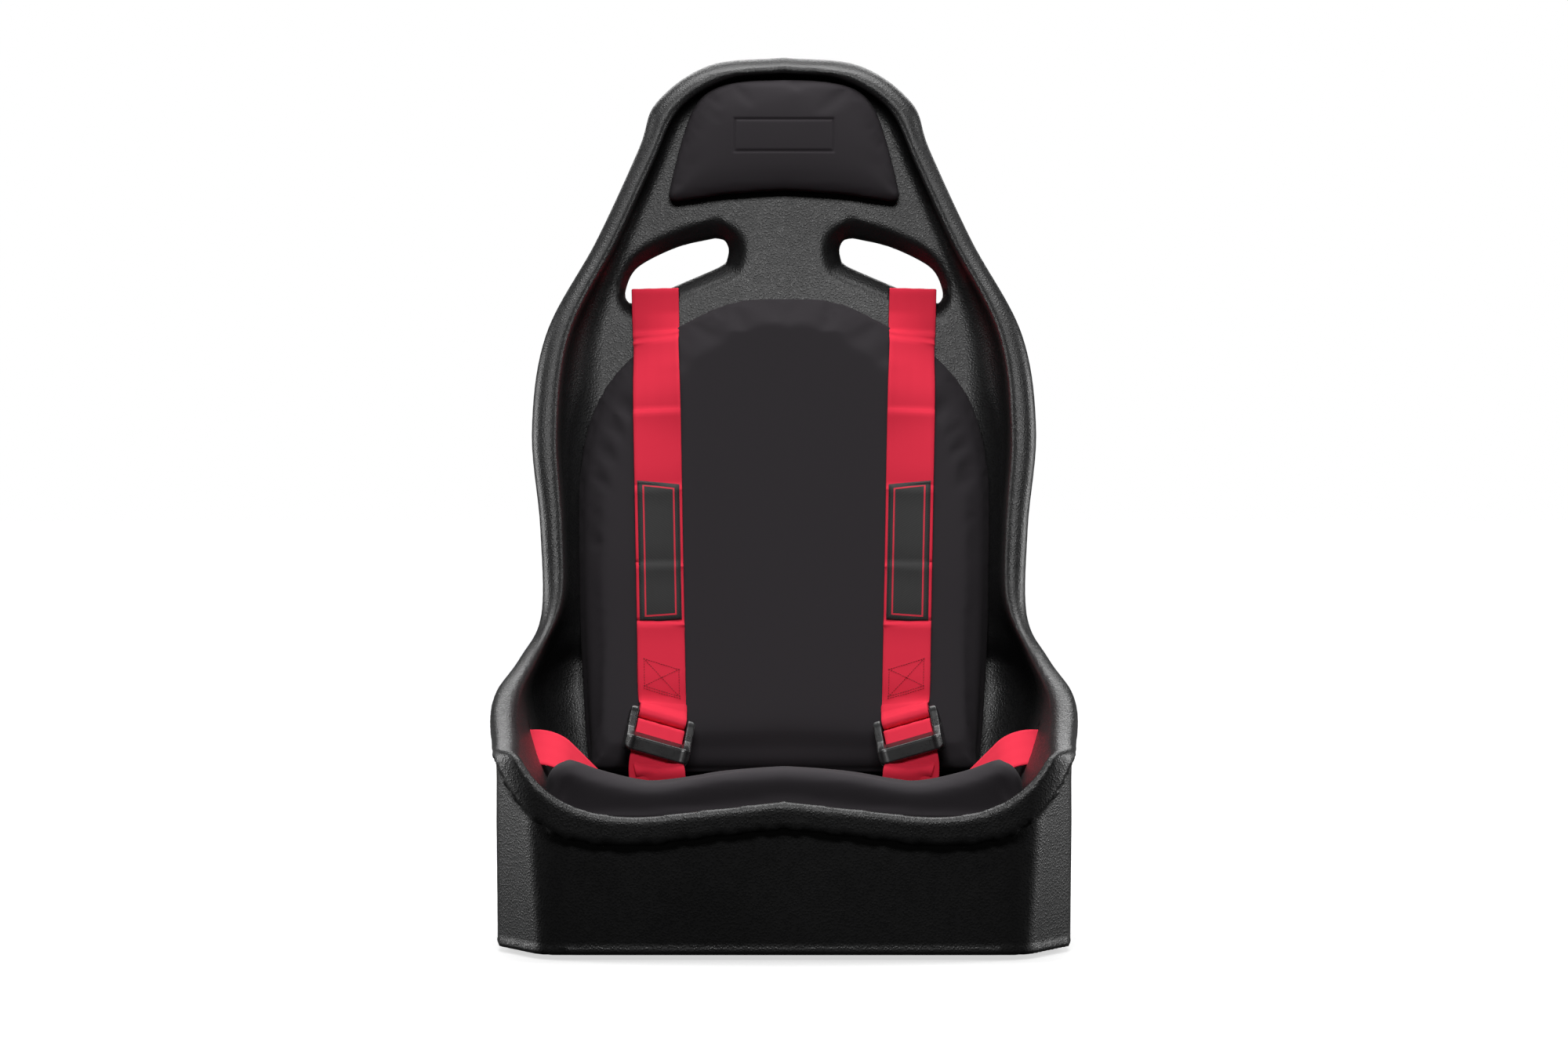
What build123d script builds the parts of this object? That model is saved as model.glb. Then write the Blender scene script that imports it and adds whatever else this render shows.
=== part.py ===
from build123d import *

import os
from math import atan2, cos, degrees, radians, sin, sqrt, tan

# A moulded bucket seat on a plinth: hollow shell, three foam pads, shoulder and lap belts.
#
# Sizes are in millimetres: +Z up, -Y is the front, and +X is to the right of a person who faces
# the seat. The origin is the centre of the bottom bolt pattern, on the plinth's underside.
# "Left" pieces are on the -X side, and each one is the mirror of its right one.

os.makedirs("parts", exist_ok=True)

# ------------------------------------------------------------------ shell sizes
shell_height = 900.0
shell_width = 576.0  # across the thigh bolsters, the widest place
shell_depth = 600.0  # from the front lip to the head's face, along the floor
wall = 6.0  # thickness of the moulded skin
back_thickness = 50.0  # of the double wall behind the back
back_radius = 3000.0  # the backrest's face is one long arc in side view
pan_half_width = 230.0
pan_corner = 30.0
front_corner = 90.0  # of the front corners, seen from above
slot_round = 14.0  # of the shoulder slots' corners
slot_clearance = 1.5  # beyond the belt's outer edge

# ------------------------------------------------------------------ soft parts
hook_thickness = 2.5  # hook-and-loop strips behind each pad
back_pad_thickness = 30.0
head_pad_thickness = 26.0
cushion_gap = 4.0  # to the shell in front and at the sides
cushion_corner = 45.0
cushion_fall = 0.137  # how much its top drops towards the back, per mm

# ------------------------------------------------------------------ belts and their hardware
webbing_width = 50.0
webbing_thickness = 1.6
belt_gap = 0.7  # between webbing and what it lies on
badge_width = 44.0
badge_length = 150.0
badge_thickness = 0.8
bar_radius = 3.0
bar_gap = 0.5  # between a bar and the webbing round it
lock_bar_radius = 3.5
lock_pin_radius = 2.5
lock_bar_drop = 12.5  # below the top bar
lock_bar_travel = 3.0
running_gap = 0.3
buckle_side_gap = 1.0  # between the webbing's edge and a cheek
cheek_thickness = 6.0
buckle_length = 41.0  # from the top bar's centre to the frame's lower edge
buckle_turn = 13.0  # degrees, how far the buckle hangs askew, its inner end low
front_plate_thickness = 3.0
front_plate_height = 16.0
plate_thickness = 3.0
plate_standoff = 3.0
plate_reach = 42.0  # from the bolt to the plate's far edge
plate_bar = 9.0  # of the plate beyond its belt slot
plate_slot = 6.0
bolt_radius = 3.9
bolt_head_radius = 7.0
bolt_head_height = 4.4
bolt_length = 24.0
hex_socket_radius = 2.9
washer_radius = 10.0
bolt_clearance = 0.3
insert_bore = 4.0
insert_radius = 6.5
insert_length = 22.0
insert_floor = 2.0
boss_radius = 14.0
boss_length = 32.0
tapped_bore = 3.4  # free M8 threads, at their minor diameter
vent_radius = 8.0
vent_height = 70.0

# ------------------------------------------------------------------ bolt patterns
bottom_spacing_x = 290.0
bottom_spacing_y = 300.0
side_spacing_y = 290.0
side_hole_height = 60.0


def wide(x):
    """A place across the seat, drawn for a shell 576 wide."""
    return x * shell_width / 576


def deep(y):
    """A place along the floor, drawn for a shell 600 deep."""
    return y * shell_depth / 600


def tall(z):
    """A height, drawn for a shell 900 tall."""
    return z * shell_height / 900


plinth_half = wide(275)
plinth_front = deep(-285)
plinth_straight = tall(180)
lip_front = deep(-300)
pan_front = (deep(-272), tall(128))
pan_rear = (deep(66), tall(90))

# outlines of the right half, as (across, up) in the drawn size
outer_half = [(275, 180), (288, 228), (266, 268), (247, 310), (250, 400), (260, 500), (247, 600),
              (197, 700), (154, 800), (136, 850), (80, 891)]
outer_top = 900
bucket_half = [(62, 873), (112, 840), (140, 780), (175, 700), (222, 600), (233, 500), (226, 400),
               (225, 325), (246, 270), (259, 228), (240, 180), (200, 148), (145, 136.5), (70, 143)]
bucket_top = 880
bucket_lip = 151
back_pad_half = [(48, 640), (95, 622), (162, 580), (200, 530), (217, 460), (218, 380), (213, 260),
                 (204, 160)]
back_pad_top = 643
back_pad_foot = 144
head_pad_half = [(48, 874), (80, 864), (100, 842), (114, 800), (125, 755)]
head_pad_top = 876
head_pad_foot = [(118, 740), (60, 748), (0, 752)]
cushion_top = [(0, 182), (60, 178), (122, 169), (170, 176), (208, 188)]
cushion_top_reach = 208
# the rim seen from the side, as (along, up), from the head down to the front lip
rim_side = [(290, 908), (283, 880), (262, 800), (222, 700), (170, 600), (133, 500), (105, 400),
            (78, 325), (25, 280), (-60, 248), (-150, 218), (-225, 200), (-300, 192)]


def scaled(points):
    return [(wide(x), tall(z)) for x, z in points]


def moved_sideways(points, amount):
    """An open chain moved to the left of its direction of travel."""
    moved = []
    for i, (x, y) in enumerate(points):
        before = points[max(i - 1, 0)]
        after = points[min(i + 1, len(points) - 1)]
        run = Vector(after[0] - before[0], after[1] - before[1]).normalized()
        moved.append((x - run.Y * amount, y + run.X * amount))
    return moved


def mirrored(points):
    """The same chain on the left, without its points on the middle line."""
    return [(-x, z) for x, z in reversed(points) if x]


# ------------------------------------------------------------------ the backrest's face
back_foot = (deep(140), tall(160))
back_head = (deep(308), tall(900))
chord = Vector(back_head[0] - back_foot[0], back_head[1] - back_foot[1])
rise_of_arc = sqrt(back_radius**2 - (chord.length / 2) ** 2)
arc_centre = (
    (back_head[0] + back_foot[0]) / 2 - chord.Y / chord.length * rise_of_arc,
    (back_head[1] + back_foot[1]) / 2 + chord.X / chord.length * rise_of_arc,
)


def back_point(offset, height):
    """The (y, z) of the backrest's face at a height, moved back by offset."""
    y = arc_centre[0] + sqrt((back_radius + offset) ** 2 - (height - arc_centre[1]) ** 2)
    return y, height


plinth_rear = back_point(back_thickness, tall(160))[0]


def back_plane(x, height, offset):
    """A plane on the backrest's face: x across, y up along the face, z towards the front."""
    y, z = back_point(offset, height)
    forward = Vector(0, arc_centre[0] - y, arc_centre[1] - z).normalized()
    return Plane(origin=(x, y, z), x_dir=(1, 0, 0), z_dir=forward)


def turned(plane, angle):
    """A plane turned in itself, anticlockwise, by an angle in degrees."""
    x_dir = plane.x_dir * cos(radians(angle)) + plane.y_dir * sin(radians(angle))
    return Plane(origin=plane.origin, x_dir=x_dir, z_dir=plane.z_dir)


front_view = Plane.XZ.offset(deep(500))  # a plane ahead of the seat, facing the front
side_view = Plane.YZ.offset(-wide(400))
through_depth = -deep(1100)
through_width = wide(800)


def back_band(near, far, bottom, top):
    """A sketch in side view between two offsets of the backrest's face."""
    middle = (bottom + top) / 2
    with BuildSketch(side_view) as band:
        with BuildLine():
            rear = ThreePointArc(back_point(far, bottom), back_point(far, middle), back_point(far, top))
            front = ThreePointArc(back_point(near, top), back_point(near, middle), back_point(near, bottom))
            Line(rear @ 1, front @ 0)
            Line(front @ 1, rear @ 0)
        make_face()
    return band.sketch


# ------------------------------------------------------------------ shell
def shell_side(inset):
    """The shell's side view with its skin's inset taken off."""
    rear = back_thickness - inset
    rim_points = moved_sideways([(deep(y), tall(z)) for y, z in rim_side], inset)
    with BuildSketch(side_view) as outline:
        with BuildLine():
            rim = Spline(rim_points)
            Polyline(
                rim @ 1,
                (lip_front + inset, tall(125)),
                (plinth_front + inset, inset),
                (plinth_rear - inset, inset),
                back_point(rear, tall(160)),
            )
            back = ThreePointArc(
                back_point(rear, tall(160)), back_point(rear, tall(530)), back_point(rear, tall(908))
            )
            Line(back @ 1, rim @ 0)
        make_face()
    return outline.sketch


def shell_front_half(inset):
    half = moved_sideways(scaled(outer_half), inset)
    with BuildSketch(front_view) as outline:
        with BuildLine():
            crown = (0, tall(outer_top) - inset)
            side = Spline([*half, crown], tangents=[(0, 1), (-1, 0)], tangent_scalars=[1, 1])
            Polyline(side @ 1, (0, inset), (half[0][0], inset), side @ 0)
        make_face()
    return outline.sketch


def shell_plan(inset):
    """The right half seen from above: only its front corner matters, the rest is oversize."""
    front = lip_front + inset
    side = plinth_half + 1 - inset
    corner = front_corner - inset
    with BuildSketch(Plane.XY) as outline:
        with BuildLine():
            start = Line((0, front), (side - corner, front))
            bend = RadiusArc(start @ 1, (side, front + corner), -corner)
            Polyline(
                bend @ 1, (wide(320), deep(-100)), (wide(320), deep(500)), (0, deep(500)), start @ 0
            )
        make_face()
    return outline.sketch


def bucket_front(grow):
    half = moved_sideways(scaled(bucket_half), grow)
    points = [(0, tall(bucket_top) + grow), *half, (0, tall(bucket_lip) - grow), *mirrored(half)]
    with BuildSketch(front_view) as outline:
        with BuildLine():
            Spline(points, periodic=True)
        make_face()
    return outline.sketch


def bucket_side(grow):
    with BuildSketch(side_view) as outline:
        with BuildLine():
            back = ThreePointArc(
                back_point(grow, tall(100)), back_point(grow, tall(530)), back_point(grow, tall(950))
            )
            Polyline(back @ 1, (deep(-480), tall(950)), (deep(-480), tall(100)), back @ 0)
        make_face()
    return outline.sketch


def pan_side(grow):
    top = back_point(grow, tall(170))
    heel = back_point(grow, pan_rear[1] - grow)
    with BuildSketch(side_view) as outline:
        with BuildLine():
            Polyline(
                (pan_front[0] - grow, tall(170)),
                (pan_front[0] - grow, pan_front[1] - grow),
                (pan_rear[0], pan_rear[1] - grow),
                heel,
                top,
                (pan_front[0] - grow, tall(170)),
            )
        make_face()
    return outline.sketch


def moulding_half(inset):
    """The right half of the shell's outside, shrunk by inset."""
    with BuildPart() as body:
        extrude(shell_side(inset), amount=through_width)
        extrude(shell_front_half(inset), amount=through_depth, mode=Mode.INTERSECT)
        extrude(shell_plan(inset), amount=tall(1000), mode=Mode.INTERSECT)
    return body.part


def bucket(grow):
    """What the seat's hollow takes out of the shell, grown by grow."""
    with BuildPart() as pan:
        extrude(pan_side(grow), amount=through_width)
        with BuildSketch(front_view) as pan_front_view:
            with Locations((0, tall(170))):
                RectangleRounded(2 * (pan_half_width + grow), 2 * (tall(100) + grow), pan_corner)
        extrude(pan_front_view.sketch, amount=through_depth, mode=Mode.INTERSECT)
    with BuildPart() as hollow:
        extrude(bucket_side(grow), amount=through_width)
        extrude(bucket_front(grow), amount=through_depth, mode=Mode.INTERSECT)
        add(pan.part)
    return hollow.part


# slots for the belts, on the right half
shoulder_belt_x = 136.5  # of the belt's middle in the slot, in the drawn size
slot_end = shoulder_belt_x + (webbing_width / 2 + slot_clearance) * 576 / shell_width
slot_inner = 52
slot_fall = 0.464  # of the slot's sill, per mm outwards
shoulder_slot_corners = [
    (slot_inner, 725),
    (slot_inner, 676),
    (slot_end, 676 - (slot_end - slot_inner) * slot_fall),
    (slot_end, 676.5),
]
hip_slot_tilt = 40.0  # degrees from the floor, its front end low
hip_slot_centre = (deep(-20), tall(182))
hip_slot_size = (webbing_width + 8, 14.0)
hip_along = Vector(0, cos(radians(hip_slot_tilt)), sin(radians(hip_slot_tilt)))
hip_up = Vector(0, -sin(radians(hip_slot_tilt)), cos(radians(hip_slot_tilt)))


def shoulder_slot(grow):
    with BuildPart() as slot:
        with BuildSketch(front_view) as outline:
            with BuildLine():
                Polyline(*scaled(shoulder_slot_corners), close=True)
            make_face()
            fillet(outline.vertices(), radius=slot_round)
            if grow:
                offset(amount=grow)
        extrude(outline.sketch, amount=through_depth)
    return slot.part


def hip_slot(grow):
    plane = Plane(origin=(wide(200), *hip_slot_centre), x_dir=hip_along, z_dir=(1, 0, 0))
    with BuildPart() as slot:
        with BuildSketch(plane) as outline:
            RectangleRounded(hip_slot_size[0] + 2 * grow, hip_slot_size[1] + 2 * grow, 5 + grow)
        extrude(outline.sketch, amount=wide(120))
    return slot.part


# ------------------------------------------------------------------ where the belts run
belt_edge = shoulder_belt_x - webbing_width / 2 * 576 / shell_width
slot_sill = 676 - (belt_edge - slot_inner) * slot_fall  # where the belt's inner edge lies on it
belt_top = (wide(shoulder_belt_x), tall(slot_sill) + belt_gap + webbing_thickness / 2)
belt_foot = (wide(126), tall(250))
belt_lean = atan2(belt_top[0] - belt_foot[0], belt_top[1] - belt_foot[1])
pad_face = -(hook_thickness + back_pad_thickness)
belt_face = pad_face - belt_gap - webbing_thickness / 2
plate_outside = plate_standoff + plate_thickness
outer_layer = plate_outside + belt_gap + webbing_thickness / 2
inner_layer = belt_gap + webbing_thickness / 2


def belt_x(height):
    """The shoulder belt's middle at a height."""
    return belt_top[0] + (height - belt_top[1]) * tan(belt_lean)


belt_plane = Plane(
    origin=(belt_top[0], 0, belt_top[1]), x_dir=(0, 1, 0), z_dir=(cos(belt_lean), 0, -sin(belt_lean))
)

# the buckle hangs on the belt's loop: x along its top bar, y up the belt, z to the front
buckle_height = tall(203)
bar_height = belt_gap + webbing_thickness + bar_gap + bar_radius  # over the pad
buckle_flat = back_plane(belt_x(buckle_height), buckle_height, pad_face - bar_height)
buckle_plane = turned(buckle_flat, buckle_turn)
loop_half = bar_radius + bar_gap + webbing_thickness / 2
second_layer = -loop_half + webbing_thickness + 0.1
lock_bar_height = -loop_half + lock_bar_radius + bar_gap + webbing_thickness / 2
lock_loop_half = lock_bar_radius + bar_gap + webbing_thickness / 2

# anchor planes on the shell: z points out of it and y points to where the belt comes from
lap_reach = 94.0  # from the hip slot down to the lap anchor
lap_anchor = Vector(plinth_half, *hip_slot_centre) - hip_up * lap_reach
lap_plane = Plane(origin=lap_anchor, x_dir=hip_along, z_dir=(1, 0, 0))
shoulder_anchor_height = tall(490)
shoulder_flat = back_plane(belt_x(shoulder_anchor_height), shoulder_anchor_height, back_thickness)
shoulder_back = Plane(shoulder_flat.origin, x_dir=-shoulder_flat.x_dir, z_dir=-shoulder_flat.z_dir)
shoulder_plane = turned(shoulder_back, degrees(belt_lean))
bottom_plane = Plane(origin=(0, 0, 0), x_dir=(1, 0, 0), z_dir=(0, 0, -1))
side_plane = Plane(origin=(plinth_half, 0, side_hole_height), x_dir=(0, 1, 0), z_dir=(1, 0, 0))
vent_plane = Plane(origin=(0, plinth_rear, vent_height), x_dir=(-1, 0, 0), z_dir=(0, 1, 0))

right_bottom_places = [(bottom_spacing_x / 2, y) for y in (-bottom_spacing_y / 2, bottom_spacing_y / 2)]
side_places = [(-side_spacing_y / 2, 0), (side_spacing_y / 2, 0)]
middle = [(0, 0)]
pan_boss = plinth_half - pan_half_width - wall / 2  # from the side wall into the pan's skin
back_boss = back_thickness - wall / 2


def posts(plane, places, radius, length):
    """Round posts that go into the shell from a plane on its skin."""
    with BuildPart() as group:
        with BuildSketch(plane) as rounds:
            with Locations(*places):
                Circle(radius)
        extrude(rounds.sketch, amount=-length)
    return group.part


seats = [
    (bottom_plane, right_bottom_places, boss_length),
    (side_plane, side_places, boss_length),
    (lap_plane, middle, pan_boss),
    (shoulder_plane, middle, back_boss),
]

# ------------------------------------------------------------------ the shell itself
with BuildPart() as void:
    add(moulding_half(wall))
    add(bucket(wall), mode=Mode.SUBTRACT)
    add(shoulder_slot(wall), mode=Mode.SUBTRACT)
    add(hip_slot(wall), mode=Mode.SUBTRACT)
    for plane, places, length in seats:
        add(posts(plane, places, boss_radius, length), mode=Mode.SUBTRACT)

with BuildPart() as shell:
    add(moulding_half(0))
    add(bucket(0), mode=Mode.SUBTRACT)
    add(shoulder_slot(0), mode=Mode.SUBTRACT)
    add(hip_slot(0), mode=Mode.SUBTRACT)
    add(void.part, mode=Mode.SUBTRACT)
    for plane, places, length in seats:
        add(posts(plane, places, insert_radius, insert_length), mode=Mode.SUBTRACT)
    mirror(about=Plane.YZ)
    add(posts(vent_plane, middle, vent_radius, wall), mode=Mode.SUBTRACT)
shell.part.label = "shell"
export_step(shell.part, "parts/shell.step")

# ------------------------------------------------------------------ threaded inserts and the vent plug
with BuildPart() as bottom_inserts:
    add(posts(bottom_plane, right_bottom_places, insert_radius, insert_length))
    add(
        posts(bottom_plane, right_bottom_places, tapped_bore, insert_length - insert_floor),
        mode=Mode.SUBTRACT,
    )
    mirror(about=Plane.YZ)
bottom_inserts.part.label = "bottom_inserts"
export_step(bottom_inserts.part, "parts/bottom_inserts.step")

with BuildPart() as side_inserts:
    add(posts(side_plane, side_places, insert_radius, insert_length))
    add(posts(side_plane, side_places, tapped_bore, insert_length - insert_floor), mode=Mode.SUBTRACT)
    mirror(about=Plane.YZ)
side_inserts.part.label = "side_inserts"
export_step(side_inserts.part, "parts/side_inserts.step")

with BuildPart() as vent_plug:
    add(posts(vent_plane, middle, vent_radius, wall))
    with BuildSketch(vent_plane) as cap:
        Circle(vent_radius + 4)
    extrude(cap.sketch, amount=2)
    fillet(vent_plug.faces().sort_by(Axis.Y)[-1].edges(), radius=1)
vent_plug.part.label = "vent_plug"
export_step(vent_plug.part, "parts/vent_plug.step")

anchor_planes = {"lap": lap_plane, "shoulder": shoulder_plane}
for name, plane in anchor_planes.items():
    with BuildPart() as insert:
        add(posts(plane, middle, insert_radius, insert_length))
        add(posts(plane, middle, insert_bore, insert_length - insert_floor), mode=Mode.SUBTRACT)
        mirror(about=Plane.YZ)
    insert.part.label = f"{name}_anchor_inserts"
    export_step(insert.part, f"parts/{name}_anchor_inserts.step")

    with BuildPart() as washer:
        with BuildSketch(plane) as ring:
            Circle(washer_radius)
            Circle(bolt_radius + bolt_clearance, mode=Mode.SUBTRACT)
        extrude(ring.sketch, amount=plate_standoff - running_gap)
        mirror(about=Plane.YZ)
    washer.part.label = f"{name}_anchor_washers"
    export_step(washer.part, f"parts/{name}_anchor_washers.step")

    with BuildPart() as bolt:
        head_plane = plane.offset(plate_outside + running_gap)
        with BuildSketch(head_plane) as head:
            Circle(bolt_head_radius)
        extrude(head.sketch, amount=bolt_head_height)
        fillet(bolt.faces().sort_by(Axis(head_plane.origin, plane.z_dir))[-1].edges(), radius=1.5)
        with BuildSketch(head_plane) as shank:
            Circle(bolt_radius)
        extrude(shank.sketch, amount=-bolt_length)
        with BuildSketch(head_plane.offset(bolt_head_height)) as hexagon:
            RegularPolygon(hex_socket_radius, 6)
        extrude(hexagon.sketch, amount=-0.6 * bolt_head_height, mode=Mode.SUBTRACT)
        mirror(about=Plane.YZ)
    bolt.part.label = f"{name}_anchor_bolts"
    export_step(bolt.part, f"parts/{name}_anchor_bolts.step")

# ------------------------------------------------------------------ pads and their hook-and-loop strips
def pad_outline(half, top, foot):
    """A pad's front view, from its right half, its top and its lower edge's right half."""
    with BuildSketch(front_view) as outline:
        with BuildLine():
            edge = Spline([*mirrored(half), (0, top), *half])
            Polyline(edge @ 1, *foot, *mirrored(foot), edge @ 0)
        make_face()
    return outline.sketch


def strips(half_width, inner, bottom, top):
    """The front view of two upright hook-and-loop strips, one each side of the middle."""
    with BuildSketch(front_view) as pair:
        with Locations((inner + half_width, (bottom + top) / 2), (-inner - half_width, (bottom + top) / 2)):
            Rectangle(2 * half_width, top - bottom)
    return pair.sketch


tape_half = 25.0
back_tapes = strips(tape_half, wide(70), tall(210), tall(540))
head_tapes = strips(tape_half, wide(25), tall(768), tall(835))
back_outline = pad_outline(scaled(back_pad_half), tall(back_pad_top), [(wide(200), tall(back_pad_foot))])
head_outline = pad_outline(scaled(head_pad_half), tall(head_pad_top), scaled(head_pad_foot))
pads = {
    "back_pad": (back_outline, back_tapes, back_pad_thickness, tall(back_pad_foot - 5), tall(660)),
    "head_pad": (head_outline, head_tapes, head_pad_thickness, tall(720), tall(890)),
}
for name, (outline, tapes, thickness, bottom, top) in pads.items():
    with BuildPart() as pad:
        extrude(back_band(-hook_thickness, -hook_thickness - thickness, bottom, top), amount=through_width)
        extrude(outline, amount=through_depth, mode=Mode.INTERSECT)
    pad.part.label = name
    export_step(pad.part, f"parts/{name}.step")

    with BuildPart() as tape:
        extrude(back_band(0, -hook_thickness, bottom, top), amount=through_width)
        extrude(tapes, amount=through_depth, mode=Mode.INTERSECT)
    tape.part.label = f"{name}_hook_tape"
    export_step(tape.part, f"parts/{name}_hook_tape.step")

cushion_front = pan_front[0] + cushion_gap
cushion_rear = deep(60)
cushion_half = pan_half_width - cushion_gap
pan_slope = (pan_rear[1] - pan_front[1]) / (pan_rear[0] - pan_front[0])


def pan_height(y):
    """The pan's surface where it slopes, and its flat heel behind."""
    return max(pan_front[1] + (y - pan_front[0]) * pan_slope, pan_rear[1])


def over_pan(near, far, low, high):
    """A strip in side view between two heights over the pan's slope."""
    with BuildSketch(side_view) as strip:
        with BuildLine():
            Polyline(
                (near, pan_height(near) + low),
                (far, pan_height(far) + low),
                (far, pan_height(far) + high),
                (near, pan_height(near) + high),
                close=True,
            )
        make_face()
    return strip.sketch


# the plan tapers behind the hips, where the lap belts go down
hip_relief = 34.0  # in from the cushion's side, ahead of the lap belts
tail_relief = 76.0  # in from the cushion's side, beside the lap belts
cushion_tail = cushion_half - tail_relief
cushion_plan = [
    (0, cushion_front),
    (cushion_half, cushion_front),
    (cushion_half, deep(-62)),
    (cushion_half - hip_relief, deep(-35)),
    (cushion_tail, deep(38)),
    (cushion_tail - 2, cushion_rear),
    (0, cushion_rear),
]
with BuildPart() as seat_cushion:
    extrude(over_pan(cushion_front, cushion_rear, hook_thickness, tall(120)), amount=through_width)
    with BuildSketch(Plane.XZ.offset(-cushion_front)) as crown:
        with BuildLine():
            crest = [(x / cushion_top_reach * (cushion_half - 18), tall(z)) for x, z in cushion_top]
            top = Spline([*mirrored(crest), *crest])
            side = cushion_half + 1
            Polyline(top @ 1, (side, (top @ 1).Y), (side, 0), (-side, 0), (-side, (top @ 0).Y), top @ 0)
        make_face()
    extrude(crown.sketch, amount=through_width, dir=(0, 1, -cushion_fall), mode=Mode.INTERSECT)
    with BuildSketch(Plane.XY) as plan:
        with BuildLine():
            Polyline(*cushion_plan, *[(-x, y) for x, y in reversed(cushion_plan[1:-1])], close=True)
        make_face()
        corners = plan.vertices().filter_by(lambda v: abs(v.X) > 1)
        fillet(corners.filter_by(lambda v: v.Y < cushion_front + 1), radius=cushion_corner)
        fillet(plan.vertices().filter_by(lambda v: v.Y > cushion_rear - 1 and v.X), radius=10)
    extrude(plan.sketch, amount=tall(300), mode=Mode.INTERSECT)
seat_cushion.part.label = "seat_cushion"
export_step(seat_cushion.part, "parts/seat_cushion.step")

with BuildPart() as cushion_tape:
    extrude(over_pan(deep(-220), deep(20), 0, hook_thickness), amount=through_width)
    with BuildSketch(Plane.XY) as lanes:
        with GridLocations(wide(180), 0, 2, 1):
            Rectangle(2 * tape_half, deep(600))
    extrude(lanes.sketch, amount=tall(300), mode=Mode.INTERSECT)
cushion_tape.part.label = "seat_cushion_hook_tape"
export_step(cushion_tape.part, "parts/seat_cushion_hook_tape.step")


# ------------------------------------------------------------------ right-hand belts and their hardware
def ribbon(plane, points, radii):
    """Webbing along a line in a plane, centred on it, its width square to the plane."""
    with BuildPart() as strip:
        with BuildSketch(plane.offset(-webbing_width / 2)) as band:
            with BuildLine():
                FilletPolyline(*points, radius=radii)
                offset(amount=webbing_thickness / 2, side=Side.BOTH)
            make_face()
        extrude(band.sketch, amount=webbing_width)
    return strip.part


def over_buckle(up, out):
    """The (y, z) of a place up the pad from the buckle's top bar and out to the front."""
    spot = buckle_flat.origin + buckle_flat.y_dir * up + buckle_flat.z_dir * out
    return spot.Y, spot.Z


def in_belt_plane(points):
    return [(y, (z - belt_top[1]) / cos(belt_lean)) for y, z in points]


def over_anchor(up, out):
    """The (y, z) of a place up the back's rear face from the shoulder anchor, and out of it."""
    spot = shoulder_flat.origin + shoulder_flat.y_dir * up - shoulder_flat.z_dir * out
    return spot.Y, spot.Z


def on_edge(plane):
    """A plane's side view: x out of it, y up it."""
    return Plane(origin=plane.origin, x_dir=plane.z_dir, z_dir=-plane.x_dir)


sewn_end = 58.0  # of webbing sewn back on itself, from an anchor's bolt
webbing_seat = plate_reach - plate_bar - 2 * belt_gap - webbing_thickness / 2
anchor_turn = (outer_layer - inner_layer) / 2 - 0.1
bar_turn = loop_half - 0.1
lock_turn = lock_loop_half - 0.1
lip_turn = 7.0
slot_exit = 5.0  # how far the webbing clears the slot's edge before it turns
badge_ends = (tall(455), tall(285))
belt_route = [
    over_anchor(sewn_end, inner_layer),
    over_anchor(webbing_seat, inner_layer),
    over_anchor(webbing_seat, outer_layer),
    back_point(back_thickness + outer_layer, belt_top[1]),
    (back_point(-slot_exit, belt_top[1])),
    back_point(belt_face, tall(614)),
    back_point(belt_face, badge_ends[0]),
    back_point(belt_face, badge_ends[1]),
    over_buckle(60, second_layer),
    over_buckle(24, second_layer),
]
bar_loop = [
    (-loop_half, 40),
    (-loop_half, -loop_half),
    (loop_half, -loop_half),
    (loop_half, 5),
    (second_layer, 24),
    (second_layer, 32),
]
with BuildPart() as shoulder_belt:
    belt_turns = [anchor_turn, anchor_turn, lip_turn, lip_turn, 20, 200, 200, 200]
    add(ribbon(belt_plane, in_belt_plane(belt_route), belt_turns))
    add(ribbon(on_edge(buckle_plane), bar_loop, [bar_turn, bar_turn, 6, 6]))

badge_top, badge_foot = in_belt_plane([back_point(belt_face, z) for z in badge_ends])
badge_middle = belt_plane.from_local_coords(((Vector(badge_top) + Vector(badge_foot)) / 2))
badge_run = belt_plane.from_local_coords(Vector(badge_top)) - badge_middle
badge_plane = Plane(
    origin=badge_middle, x_dir=belt_plane.z_dir, z_dir=belt_plane.z_dir.cross(badge_run)
).offset(webbing_thickness / 2)
with BuildPart() as belt_badge:
    with BuildSketch(badge_plane) as patch:
        RectangleRounded(badge_width, badge_length, 2)
    extrude(patch.sketch, amount=badge_thickness)

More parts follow.
